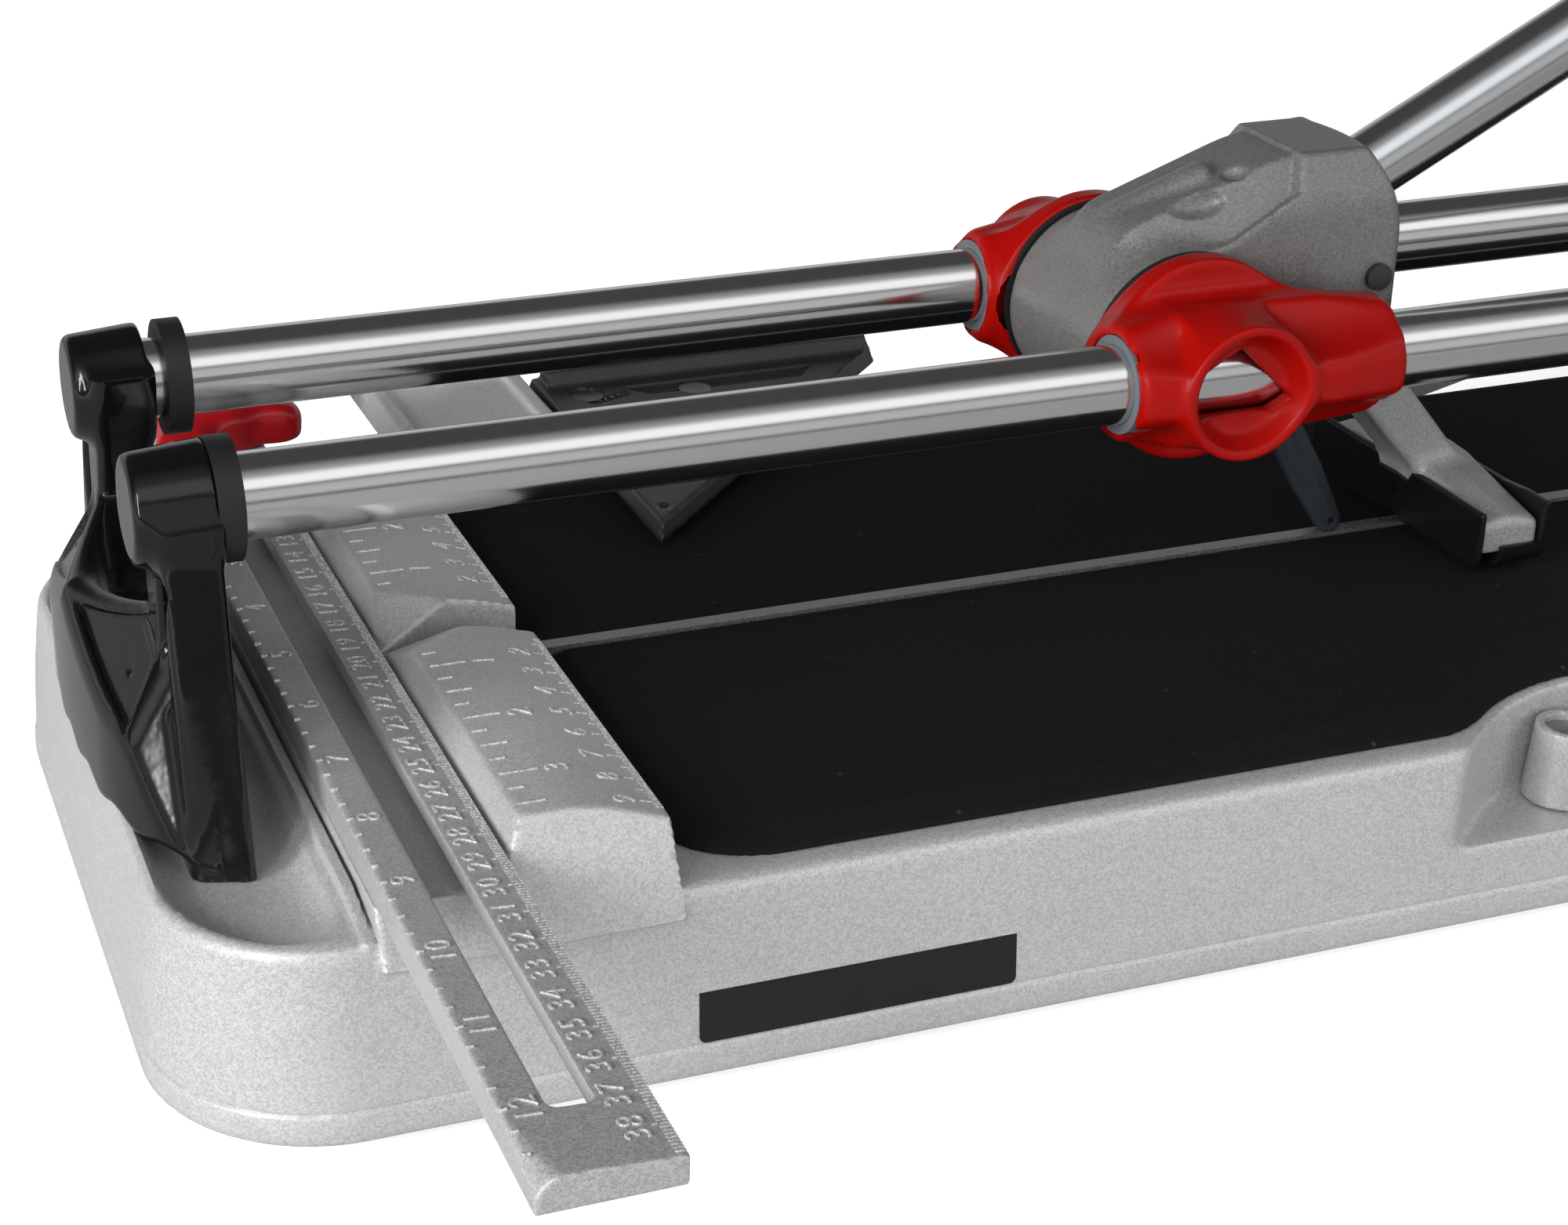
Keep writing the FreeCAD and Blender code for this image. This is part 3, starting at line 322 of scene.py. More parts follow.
def base_solid(x, y, z):
    """The base casting as a distance field: drafted block, fence, bed, bowls, pockets and hollow."""
    ax, ay = np.abs(x), np.abs(y)
    draft = np.where(z < LIP_TOP, 0, 0.45 + 0.055 * (z - LIP_TOP)) + 0.06 * np.maximum(z - 28, 0)
    groove = 0.35 * np.exp(-((z - LIP_TOP) / 0.5) ** 2)
    wall = plate(x, y, BASE_HALF_LENGTH, BASE_HALF_WIDTH, BASE_CORNER) + draft + groove
    foot = common(wall, 3 - z, 3)
    block = common(foot, z - DECK, 3.2)
    end = (ay - 93.4 - (FENCE_TOP - z) * 0.585) * 0.863
    left = (FENCE_LEFT - x + 0.46 * np.maximum(z - 55, 0)) * 0.91
    fence = common(np.maximum(left, x - FENCE_RIGHT), z - fence_level(x, y), 0.9)
    fence = common(fence, end, 0.9)
    facet = 0.881 * (z - FENCE_TOP) - 0.249 * (x + 357.5) - 0.401 * (ay - 16.5)
    fence = common(fence, facet, 0.5)
    half = 7.0 * np.clip((x - FENCE_LEFT) / 18.5, 0, 1)
    notch = np.maximum(np.maximum((ay - half) * 0.94, STRIP_TOP - 0.8 - z), FENCE_LEFT - x)
    fence = cut_from(fence, notch, 0.4)
    bed = common(np.maximum(RULER_LEFT - 0.2 - x, x - FENCE_LEFT - 2), z - BED, 0.6)
    bed = common(bed, end, 0.9)
    ear = np.maximum(np.abs(x - RULER_LEFT + 2) - 1.2, z - 49.5 + 0.21 * np.maximum(ay - 86, 0))
    ear = common(ear, ay - 103.3, 1.0)
    above = np.minimum(np.minimum(fence, bed), ear)
    above = np.maximum(above, 40 - z)
    block = joined(block, above, 0.7)
    bowl = plate(ax, y, BASE_HALF_LENGTH - 4.4, BASE_HALF_WIDTH - 4.4, BASE_CORNER - 3)
    bowl = common(bowl, -(ax + RULER_LEFT - 3.4), 16)
    bowl = common(bowl, 41.5 - z, 11)
    block = cut_from(block, bowl, 0.7)
    block = cut_from(block, common(pocket_plan(x, ay), POCKET_FLOOR - z, 3), 1.4)
    tub = plate(x - 12, ay - 107, 182, 31.5, 3)
    hollow = common(plate(x, y, 388, 98, 6), z - 41, 2)
    hollow = np.maximum(hollow, -np.maximum(tub, POCKET_FLOOR - 4 - z))
    rib_pitch = 776 / 7
    rib = np.abs((x + 388 + rib_pitch / 2) % rib_pitch - rib_pitch / 2) - 2
    rib = np.maximum(rib, np.maximum(15 - z, ax - 380))
    hollow = np.maximum(hollow, -rib)
    ends = common(plate(ax - 405, y, 15, 69, 4), z - 36.5, 2)
    return cut_from(block, np.minimum(hollow, ends), 0.8)


base_x = spaced((-431.5, 1.5), (-392, 0.9), (-386, 1.5), (-320, 8), (-158, 1.75), (-104, 11), (178, 2.1),
                (200, 11), (380, 2.8), (431.5, 1))
base_y = spaced((-108.5, 1.2), (-78, 4.1), (-13, 1.0), (13, 4.1), (78, 1.2), (108.5, 1))
base_z = spaced((1.5, 1), (5, 2.2), (9.8, 0.45), (12, 2.6), (20, 1.05), (25, 2.6), (39, 0.87), (64, 1))


def cast_finish(name, colour, speck, rough=0.42, metal=0.45, grain=0.12):
    """Silver paint over a casting: a coarse sparkle of flakes, a fine grain and faint clouding."""
    material = bpy.data.materials.new(name)
    start, output = shader_tree(material)
    place = start.node("TexCoord", out=3)
    flakes = start.node("TexVoronoi", {0: place, "Scale": METAL_SPECK}, out=1)
    flake = start.node("SeparateColor", {0: flakes})
    cloud = start.node("TexNoise", {0: place, "Scale": 24.0, "Detail": 4.0})
    fine = start.node("TexNoise", {0: place, "Scale": 1500.0, "Detail": 3.0, "Roughness": 0.7})
    tone = (flake - 0.5) * speck + (cloud - 0.5) * 0.10 + 1.0
    tint = start.node("VectorMath", {0: grey(colour)[:3], 3: tone}, operation="SCALE")
    gloss = flake * 0.24 + (rough - 0.12)
    bump = start.node("Bump", {"Height": fine + flake * 0.4, "Strength": grain, "Distance": 0.0003})
    shader = start.node("BsdfPrincipled", {"Base Color": tint, "Roughness": gloss, "Metallic": metal,
                                           "Normal": bump})
    start.tree.links.new(shader.socket, output.inputs[0])
    return material


BASE_SILVER = (0.50, 0.50, 0.505)
base_paint = cast_finish("base_silver", BASE_SILVER, 0.35)
base_piece = skin("base_casting_shell", base_solid, base_x, base_y, base_z)
fit_out(base_piece, "base", "cast_alloy", base_paint, "base_casting")


# ---- Pads ---------------------------------------------------------------------------
# Two sheets of firm black cellular rubber are glued to the bed for the tile to lie on.
# Their outer edge is bevelled and follows the casting round its arm pockets.

PAD_TOP = 50


def pad_solid(x, y, z):
    """The pads as a distance field: a bevelled outer edge that keeps clear of the pockets."""
    ay = np.abs(y)
    outer = -joined(joined(97.3 - ay, x + 325.5, 26), 386 - x, 26)
    outer = common(outer, 1.9 - pocket_plan(x, ay), 6)
    strip = 2.3 - ay
    rim = common(outer + 0.25 * (z - 46), (outer + 7.6 + 2.6 * (z - PAD_TOP)) * 0.36, 0.5)
    sheet = common(np.maximum(rim, strip), z - PAD_TOP, 0.35)
    return common(sheet, 46 - z, 0.3)


def foam_finish(name, colour):
    """Matt cellular rubber: fine pits in the surface with painted shade at their bottoms, and a thin
    scatter of pale dust.
    """
    material = bpy.data.materials.new(name)
    start, output = shader_tree(material)
    place = start.node("TexCoord", out=3)
    pits_and_pit_shade = start.node("TexVoronoi", {0: place, "Scale": 900.0})
    cloud = start.node("TexNoise", {0: place, "Scale": 60.0, "Detail": 5.0})
    specks = start.node("TexVoronoi", {0: place, "Scale": 95.0})
    dust = 1.0 - specks.above(0.035, 0.03)
    # The pit field also darkens the colour towards each pit's bottom: painted shade in the pits.
    tone = pits_and_pit_shade * 0.35 + (cloud - 0.5) * 0.25 + dust * 3.0 + 0.85
    tint = start.node("VectorMath", {0: grey(colour)[:3], 3: tone}, operation="SCALE")
    bump = start.node("Bump", {"Height": pits_and_pit_shade, "Strength": 0.3, "Distance": 0.0004})
    shader = start.node("BsdfPrincipled", {"Base Color": tint, "Roughness": 0.9, "Normal": bump,
                                           "Specular IOR Level": 0.18})
    start.tree.links.new(shader.socket, output.inputs[0])
    return material


pad_foam = foam_finish("pad_rubber", 0.006)
pad_x = spaced((-327, 0.8), (-300, 6), (-168, 1.2), (-98, 8), (182, 1.2), (216, 8), (360, 1.2), (388, 1))
pad_z = spaced((45.2, 0.5), (51, 1))
near_y = spaced((-99, 0.8), (-62, 6), (-8, 1), (-1, 1))
for pad_name, pad_y in (("pad_near", near_y), ("pad_far", -near_y[::-1])):
    pad = skin(pad_name + "_sheet", pad_solid, pad_x, pad_y, pad_z)
    fit_out(pad, "base", "pad_foam", pad_foam, pad_name)


# ---- Ruler --------------------------------------------------------------------------
# The sliding ruler is a machined aluminium bar, a little thicker at its inch edge, with a
# slot right through it for the clamp stud and a wider recess below for the stud's head.
# A key under it runs in the bed, and its near end is rounded off at the inch side.

RULER_NEAR, RULER_FAR = -199.5, 190
RULER_FLOOR, RULER_RISE = 51.7, 5.8
SLOT_MIDDLE, SLOT_HALF = -375.5, 4.2


def ruler_level(x, y):
    """Height of the ruler's top: lowest at its centimetre edge, 0.0602 higher for each mm from it."""
    return RULER_FLOOR + RULER_RISE + 0.0602 * (RULER_RIGHT - x)


def ruler_solid(x, y, z):
    """The ruler as a distance field: a bar with a sloping top, less its slot, plus its key."""
    top = ruler_level(x, y)
    bar = common(np.maximum(RULER_LEFT - x, x - RULER_RIGHT), np.maximum(RULER_FLOOR - z, z - top), 0.7)
    bar = common(bar, np.maximum(RULER_NEAR - y, y - RULER_FAR), 0.8)
    worn = np.clip((RULER_NEAR + 15 - y) * 0.24, 0, 3.4)
    bar = common(bar, (z - top + worn - (x - RULER_LEFT)) * 0.7, 1.2)
    slot = plate(x - SLOT_MIDDLE, y + 1.5, SLOT_HALF, 179.5, 2)
    bar = cut_from(bar, slot, 0.5)
    recess = plate(x - SLOT_MIDDLE, y + 1.5, 5.3, 180, 2)
    bar = cut_from(bar, np.maximum(recess, z - RULER_FLOOR - 2.5), 0.3)
    key = np.maximum(plate(x + 384.25, y - 40, 2.2, 110, 0.5), np.maximum(47.8 - z, z - 53))
    return joined(bar, key, 0.3)


ruler_y = spaced((-201, 0.6), (-178, 2.5), (-160, 7), (160, 2.5), (176, 0.7), (192, 1))
ruler_z = spaced((46.9, 0.9), (51, 0.5), (54.6, 0.9), (56, 0.45), (60, 1))
ruler_piece = skin("ruler_shell", ruler_solid, spaced((-389, 0.5), (-360.4, 1)), ruler_y, ruler_z)
RULER_SILVER = (0.42, 0.42, 0.42)
ruler_paint = cast_finish("ruler_silver", RULER_SILVER, 0.4, 0.46, 0.45)
fit_out(ruler_piece, "ruler", "fence_alloy", ruler_paint, "ruler_bar")


# ---- Scales -------------------------------------------------------------------------
# The scales are cast in relief on the ruler and on the fence: fine ridges for the marks
# and raised numbers that are read from the cutter's handle end. Their tops are polished.


def marks(left, right, places, width, level, lift):
    """Boxes from left to right across X at each place along Y, topped lift above level(x, y)."""
    places = np.asarray(places, float)
    corners = np.array([(u, v, w) for u in (0, 1) for v in (0, 1) for w in (0, 1)], float)
    x = np.where(corners[:, 0] > 0, right, left)
    x = np.broadcast_to(x, (places.size, 8))
    taper = np.where(corners[:, 2] > 0, 0.28, 0.5) * width
    y = places[:, None] + np.where(corners[:, 1] > 0, taper, -taper)
    z = level(x, y) + np.where(corners[:, 2] > 0, lift, -0.3)
    sides = np.array([(0, 1, 3, 2), (4, 6, 7, 5), (0, 4, 5, 1), (2, 3, 7, 6), (0, 2, 6, 4), (1, 5, 7, 3)])
    faces = sides[None] + 8 * np.arange(places.size)[:, None, None]
    return np.stack([x, y, z], -1).reshape(-1, 3), faces.reshape(-1, 4).tolist()


def numbers(labels, x_middle, places, height, level, lift):
    """Raised numbers turned to be read from +X, centred at x_middle and at each place along Y."""
    points, faces = [], []
    for label, place in zip(labels, places):
        curve = bpy.data.curves.new("digits", "FONT")
        curve.body = str(label)
        curve.size = height / 0.69
        curve.extrude = 0.12
        curve.bevel_depth = 0.1
        curve.bevel_resolution = 0
        curve.resolution_u = 3
        curve.offset = -0.12
        curve.space_character = 1.12
        text = bpy.data.objects.new("digits", curve)
        scene.collection.objects.link(text)
        mesh = bpy.data.meshes.new_from_object(text)
        flat = np.empty(len(mesh.vertices) * 3)
        mesh.vertices.foreach_get("co", flat)
        flat = flat.reshape(-1, 3)
        flat[:, :2] -= (flat[:, :2].min(0) + flat[:, :2].max(0)) / 2
        x, y = x_middle - flat[:, 1], place + flat[:, 0]
        z = level(x, y) + np.maximum(flat[:, 2] - 0.22 + lift, -0.3)
        start = sum(len(run) for run in points)
        faces += [[start + k for k in face.vertices] for face in mesh.polygons]
        points.append(np.stack([x, y, z], 1))
        bpy.data.objects.remove(text)
        bpy.data.curves.remove(curve)
        bpy.data.meshes.remove(mesh)
    return np.concatenate(points), faces


def relief(name, body, finish, runs):
    """One piece from several runs of points and faces, riding on its body."""
    faces = []
    count = 0
    for points, run in runs:
        faces += [[count + k for k in face] for face in run]
        count += len(points)
    piece = mesh_piece(name, np.concatenate([points for points, _ in runs]), faces, 25)
    return fit_out(piece, body, "fence_alloy", finish)


RULER_ZERO = 190.2
RULER_INCH = 125.0
whole = np.arange(1, 39)
millimetres = RULER_ZERO - np.arange(2, 389)
quarters = RULER_INCH - 6.35 * np.arange(-8, 51)
inches = np.arange(-2, 13)
ruler_marks = [
    marks(-363.6, -361.6, millimetres, 0.6, ruler_level, 0.22),
    marks(-364.6, -363.4, RULER_ZERO - 10 * whole, 0.6, ruler_level, 0.22),
    marks(-387.8, -386.4, quarters, 0.7, ruler_level, 0.28),
    numbers(whole, -367.9, RULER_ZERO - 10 * whole, 4.6, ruler_level, 0.32),
    numbers(inches[inches > 0], -383.4, RULER_INCH - 25.4 * inches[inches > 0], 4.8, ruler_level, 0.32)]
mark_metal = cast_finish("mark_silver", (0.70, 0.70, 0.70), 0.6, 0.32, 0.6)
relief("ruler_scale", "ruler", mark_metal, ruler_marks)

fence_marks = []
for side in (-1, 1):
    fence_marks += [
        marks(-328.6, -326.9, side * np.arange(12, 93), 0.5, fence_level, 0.2),
        marks(-331.2, -328.4, side * 10 * np.arange(2, 10), 0.5, fence_level, 0.2),
        marks(-330, -328.4, side * (10 * np.arange(1, 9) + 5), 0.5, fence_level, 0.2),
        marks(-356, -348, side * 25.4 * np.arange(1, 4), 0.8, fence_level, 0.28),
        marks(-356, -350.4, side * (25.4 * np.arange(1, 4) + 12.7), 0.8, fence_level, 0.28),
        marks(-356, -352.8, side * (12.7 * np.arange(1, 7) + 6.35), 0.8, fence_level, 0.28),
        numbers([1, 2, 3], -344, side * 25.4 * np.arange(1, 4), 5, fence_level, 0.32),
        numbers(range(2, 10), -334.4, side * 10 * np.arange(2, 10), 4.8, fence_level, 0.32)]
relief("fence_scale", "base", mark_metal, fence_marks)


# ---- Rail supports ------------------------------------------------------------------
# Each end support is one zinc casting in thick gloss black: two sockets for the rails on
# flared posts, and a web between them that peaks at the middle, falls to a horn at each
# side and follows the end of the base. It is held by screws up through the end bowls.

RAIL_ACROSS, RAIL_HEIGHT = 36.3, 112.3


def support_solid(x, y, z):
    """A support as a distance field: sockets, posts with a groove, and the web's facets."""
    c, w = np.abs(x), np.abs(y)
    ring = np.hypot(w - RAIL_ACROSS, z - RAIL_HEIGHT)
    socket = common(ring + 0.08 * np.maximum(c - 406, 0) - 12.7, c - 420.5, 2.2)
    socket = common(socket, 404 - c, 0.9)
    fall = np.maximum(109 - z, 0)
    tuck = np.maximum(z - 109, 0)
    outer = 49.1 + 0.25 * fall * fall / (fall + 3) - 0.1 * tuck * tuck
    outer = outer + (410 - c) * 0.34 * np.clip((79 - z) / 37.5, 0, 1)
    inner = 26 + (100 - z) * 0.24
    sides = common((w - outer) * 0.96, (inner - w) * 0.97, 3)
    post = common(sides, np.abs(c - 409.8) - 6.3, 2.6)
    post = np.maximum(post, np.maximum(z - 118, 41.5 - z))
    groove = plate(w - 45.4, z - 82, 3.6 + 0.04 * (z - 82), 19, 3.4)
    post = cut_from(post, common(groove, 410 - c, 2), 1.5)
    body = joined(socket, post, 4)
    wall = c - 430 + 0.0016 * w * w
    skirt = 0.873 * (c - 427) + 0.487 * (w - 45)
    web = common(wall, skirt, 6)
    saddle = z - 83 - 0.0068 * w * w
    facet = 0.816 * (c - 428) + 0.227 * (w - 4) + 0.532 * (z - 81)
    flank = 0.485 * (c - 427) + 0.774 * (w - 45) + 0.407 * (z - 65)
    top = common(common(facet, saddle, 2), flank, 3)
    panel = common(-facet - 1.5, common(c - 427.2 + 0.0016 * w * w, saddle + 3, 2), 1.4)
    panel = common(panel, w - 0.28 * (80 - z) - 40, 1)
    web = common(web, top, 1.6)
    web = cut_from(web, panel, 1.5)
    hem = 47 + 0.9 * np.cos(w * 0.33) + 0.12 * np.minimum(c - 430, 0)
    web = common(web, hem - z, 1.5)
    web = np.maximum(web, 411 - c)
    back = common(np.maximum(c - 421, w - 34), np.maximum(44 - z, z - 76), 2)
    web = cut_from(web, back, 1.2)
    return joined(body, web, 1.6)


def gloss_finish(name, colour, rough=0.12, peel=0.05, shine=0.4):
    """Thick glossy lacquer: an even colour with a slight orange peel."""
    material = bpy.data.materials.new(name)
    start, output = shader_tree(material)
    place = start.node("TexCoord", out=3)
    wave = start.node("TexNoise", {0: place, "Scale": 220.0, "Detail": 2.0})
    dust = start.node("TexVoronoi", {0: place, "Scale": 120.0})
    fleck = 1.0 - dust.above(0.03, 0.03)
    haze = start.node("TexNoise", {0: place, "Scale": 40.0, "Detail": 3.0})
    gloss = haze * 0.08 + fleck * 0.25 + (rough - 0.03)
    bump = start.node("Bump", {"Height": wave, "Strength": peel, "Distance": 0.001})
    tint = start.node("VectorMath", {0: grey(colour)[:3], 3: 1.0 + fleck * 0.6}, operation="SCALE")
    shader = start.node("BsdfPrincipled", {"Base Color": tint, "Roughness": gloss, "Normal": bump,
                                           "Specular IOR Level": shine})
    start.tree.links.new(shader.socket, output.inputs[0])
    return material


gloss_black = gloss_finish("support_gloss", 0.003, 0.08, 0.04, 0.5)
support_y = spaced((-71, 0.75), (71, 1))
support_z = spaced((40.6, 0.75), (126, 1))
front_x = spaced((-431.5, 0.6), (-402.6, 1))
for support_name, support_x in (("front_support", front_x), ("rear_support", -front_x[::-1])):
    support = skin(support_name + "_casting", support_solid, support_x, support_y, support_z)
    fit_out(support, "base", "support_black", gloss_black, support_name)


# ---- Sliders ------------------------------------------------------------------------
# The two sliders are zinc castings in satin red lacquer. Each is a sleeve round its rail,
# grown into a flange against the head and a deep cup outside, where an arrow-shaped
# window shows the rail. Hollow flanks run out over the sleeve on both sides of the cup.

AXLE_ALONG = -175.5


def slider_solid(x, y, z):
    """A slider as a distance field: sleeve and flange less the hollow flanks, then cup and window."""
    u, w, v = x - AXLE_ALONG, np.abs(y) - RAIL_ACROSS, z - RAIL_HEIGHT
    ring = np.hypot(w, v)
    swell = 2.7 * np.clip((u + 25.5) / 13, 0, 1) * np.clip((46 - u) / 22, 0, 1)
    sleeve = common(ring - 13.3 - swell, np.maximum(-25.5 - u, u - 41), 2.4)
    disc = np.hypot(u, v)
    flange = common(disc - 24, np.abs(w + 10.6) - 3.3, 1.6)
    body = joined(sleeve, flange, 7)
    right = np.hypot(w - 22.5, v - 28) - 24.2 + 0.05 * np.maximum(u - 8, 0)
    body = cut_from(body, common(right, 3.5 + 0.3 * v - u, 3), 1.2)
    left = common(np.hypot(w - 19, v - 23) - 17.6, u + 12.5, 3)
    body = cut_from(body, left, 1.8)
    under = common(np.hypot(w - 22, v + 29) - 25, 12 - np.abs(u), 7)
    body = cut_from(body, under, 2)
    cup = np.maximum(common(disc - 15.7, w - 15.7, 1.0), -w)
    body = joined(body, cup, 3)
    dish = common(disc - 13.6 + 0.55 * (15.7 - w), 9.9 - w, 2.5)
    body = cut_from(body, dish, 0.8)
    arrow = np.maximum((u + v - 9.0) * 0.707, 0.716 * u - 0.698 * v - 10.6)
    arrow = np.maximum(np.maximum(arrow, -6.6 - v), np.maximum(-0.49 * u + 0.87 * v - 7.6, -10.6 - u))
    arrow = np.maximum(arrow, disc - 13.2)
    body = cut_from(body, np.maximum(arrow, -w), 0.4)
    bore = np.maximum(ring - 9.4, -26 - u)
    seat = np.maximum(ring - 11.15, np.minimum(u + 19.4, 34.9 - u))
    body = cut_from(body, np.minimum(bore, seat), 0.4)
    axle = np.maximum(disc - 8.1, w + 9)
    return cut_from(body, axle, 0.3)


red_lacquer = gloss_finish("slider_lacquer", (0.24, 0.002, 0.001), 0.28, 0.12, 0.2)
slider_x = spaced((-202.3, 0.75), (-133, 1))
slider_z = spaced((87.2, 0.75), (137.4, 1))
near_y = spaced((-53.1, 0.7), (-21.3, 1))
for slider_name, slider_y in (("slider_near", near_y), ("slider_far", -near_y[::-1])):
    slider = skin(slider_name + "_casting", slider_solid, slider_x, slider_y, slider_z)
    fit_out(slider, "carriage", "slider_red", red_lacquer, slider_name)


# ---- Head ---------------------------------------------------------------------------
# The tilting head is one aluminium casting, blasted to a mid grey: a drum between the
# sliders that rises to a block with the handle's socket. Its crown is narrower than its
# cheeks, with a thumb rib and a drain pocket, and a slot below takes the separator arm.

HEAD_HALF = 20.7
RIVET_ALONG, RIVET_HEIGHT = -125.2, 124.5
WHEEL_ALONG, WHEEL_HEIGHT = -117.5, 53.95
HANDLE_ALONG, HANDLE_HEIGHT = -104.3, 150.8


def from_wheel(x, z):
    """Distances across and up the wheel holder, which leans 30 degrees, from the wheel's axle."""
    east, rise = x - WHEEL_ALONG, z - WHEEL_HEIGHT
    return east * 0.866 + rise * 0.5, rise * 0.866 - east * 0.5


def head_solid(x, y, z):
    """The head as a distance field: drum, block under a crown, side valleys, rib and slots."""
    w, u, v = np.abs(y), x - AXLE_ALONG, z - RAIL_HEIGHT
    drum = np.hypot(u, v) - 23
    edge_height = 133.7 + 0.593 * (x + 169.4)
    cheek = 0.80 * (z - edge_height) + 0.48 * np.maximum(20.2 - w, 0)
    rise = joined(139.3 + 0.36 * (x + 185), 153.3 + 0 * x, 3)
    crown = common((z - rise) * 0.95, 0.85 * (w - 11.2) + 0.53 * (z - rise + 0.4), 0.8)
    crown = common(crown, -(x + 190), 8)
    step = common(z - 153.8, -0.94 * (x + 145.5) + 0.34 * (z - 150), 0.5)
    top = joined(joined(cheek, crown, 0.8), step, 0.6)
    bulge = 0.0105 * w * w
    nose = common(0.884 * (x + 122.1 + bulge) + 0.467 * (z - 151.7), x + 115.6 + bulge, 3)
    nose = common(nose, 0.617 * (x + 123.6 + bulge) + 0.787 * (z - 153.2), 3)
    under = np.maximum(95.3 - z + 0.13 * (x + 160.5), 0.878 * (x + 116.5) - 0.479 * (z - 111.3))
    body = common(common(top, nose, 1.6), under, 1.5)
    body = common(body, -0.625 * (x + 195.5) - 0.781 * (z - 123.3), 3)
    body = common(body, 0.85 * (w - HEAD_HALF) + 0.53 * (z - 143.5), 1.2)
    head = common(joined(drum, body, 5), w - HEAD_HALF, 1.6)
    along = (x + 189.6) * 0.977 - (y - 4) * 0.212
    across = (x + 189.6) * 0.212 + (y - 4) * 0.977
    swell = np.clip(along / 28.2, 0, 1)
    rib = np.hypot(across, z - 136.0 - 9.4 * swell) - 1.6 - 4.2 * swell
    rib = common(rib, np.maximum(along - 29.5, 4 - along), 5)
    head = joined(head, rib, 1.6)
    pocket = np.sqrt(((x + 170.5) / 2.2) ** 2 + (y + 12.8) ** 2 + (z - 144.2) ** 2) - 3.6
    head = cut_from(head, pocket, 0.5)
    notch = np.sqrt((x + 158.5) ** 2 + (y + 8.5) ** 2 + (z - 150) ** 2) - 3.4
    head = cut_from(head, notch, 0.6)
    roof = np.where(x > RIVET_ALONG, z - RIVET_HEIGHT - 2, z - RIVET_HEIGHT)
    slot = np.maximum(-131.3 - x, roof)
    pivot = np.hypot(x - RIVET_ALONG, z - RIVET_HEIGHT) - 4.5
    head = cut_from(head, np.maximum(np.minimum(slot, pivot), w - 8.8), 0.4)
    lean, up = from_wheel(x, z)
    seat = np.maximum(np.maximum(np.abs(lean) - 4.6, up - 72.1), w - 2.3)
    head = cut_from(head, seat, 0.3)
    east, rise = x - HANDLE_ALONG, z - HANDLE_HEIGHT
    reach = east * 0.886 + rise * 0.463
    bore = np.hypot(rise * 0.886 - east * 0.463, y) - 8.4
    head = cut_from(head, np.maximum(bore, -42.1 - reach), 0.5)
    return cut_from(head, np.hypot(u, v) - 8.1, 0.3)


head_grey = cast_finish("head_alloy_paint", (0.185, 0.182, 0.179), 0.45, 0.40, 0.5, 0.16)
head_x = spaced((-199.8, 0.75), (-114.2, 1))
head_z = spaced((88, 0.75), (158.8, 1))
head_piece = skin("head_shell", head_solid, head_x, spaced((-22.2, 0.7), (22.2, 1)), head_z)
fit_out(head_piece, "head", "head_alloy", head_grey, "head_casting")


# ---- Wheel holder -------------------------------------------------------------------
# A hardened steel blade leans back from the head to the scoring wheel. It is forged with
# long facets that thin its edges, has a rounded tip with a slot for the wheel, and is
# oiled to a bluish black.


def outline(u, v, corners):
    """Signed distance to a polygon: the nearest side, negative where an odd number is crossed."""
    inside = np.zeros(np.broadcast(u, v).shape, bool)
    nearest = np.full(inside.shape, 1e9)
    for (a, b), (c, d) in zip(corners, corners[1:] + corners[:1]):
        t = ((u - a) * (c - a) + (v - b) * (d - b)) / ((c - a) ** 2 + (d - b) ** 2)
        t = np.clip(t, 0, 1)
        nearest = np.minimum(nearest, (u - a - t * (c - a)) ** 2 + (v - b - t * (d - b)) ** 2)
        if b != d:
            inside ^= ((b > v) != (d > v)) & (u < (c - a) * (v - b) / (d - b) + a)
    return np.where(inside, -1, 1) * np.sqrt(nearest)


def holder_solid(x, y, z):
    """The blade as a distance field, in its own leaning directions: across and up from the wheel."""
    across, up = from_wheel(x, z)
    w = np.abs(y)
    half = 3.2 + 1.3 * np.clip(up / 14, 0, 1)
    tip = np.hypot(across, np.minimum(up, 0)) - half
    blade = common(tip, up - 67.2, 0.5)
    thin = w - 2.2 + 0.42 * np.maximum(np.abs(across + 0.6) - 1.7, 0)
    blade = common(blade, thin, 0.35)
    hollow = np.sqrt((across / 1.7) ** 2 + ((up - 26) / 17) ** 2 + ((w - 2.6) / 1.0) ** 2) - 1
    blade = cut_from(blade, hollow, 0.3)
    slot = np.maximum(w - 0.9, np.hypot(across, up) - 4.2)
    blade = cut_from(blade, slot, 0.15)
    return cut_from(blade, np.hypot(across, up) - 0.85, 0.15)


blue_steel = cast_finish("holder_blue", (0.05, 0.06, 0.07), 0.05, 0.38, 0.6, 0.03)
holder_x = spaced((-157.5, 0.55), (-112.3, 1))
holder_z = spaced((50, 0.55), (117.5, 1))
holder = skin("wheel_holder_blade", holder_solid, holder_x, spaced((-2.9, 0.42), (2.9, 1)), holder_z)
fit_out(holder, "head", "holder_steel", blue_steel, "wheel_holder")


# ---- Separator arm ------------------------------------------------------------------
# The arm that snaps the tile is an aluminium casting like the head: a bar that hangs from
# the rivet, with a foot across its end. The foot falls away to both sides of the strip,
# and a soft spine runs down the bar and out along the foot.

ARM_SIDE = [(-84.7, 58), (-84.7, 69.7), (-112.7, 103), (-121, RIVET_HEIGHT), (RIVET_ALONG, 128.5),
            (-129.3, RIVET_HEIGHT), (-124.7, 97.5), (-97.7, 67.2), (-97.7, 58)]
FOOT_ALONG, FOOT_PIN_HEIGHT = -89.7, 59.9


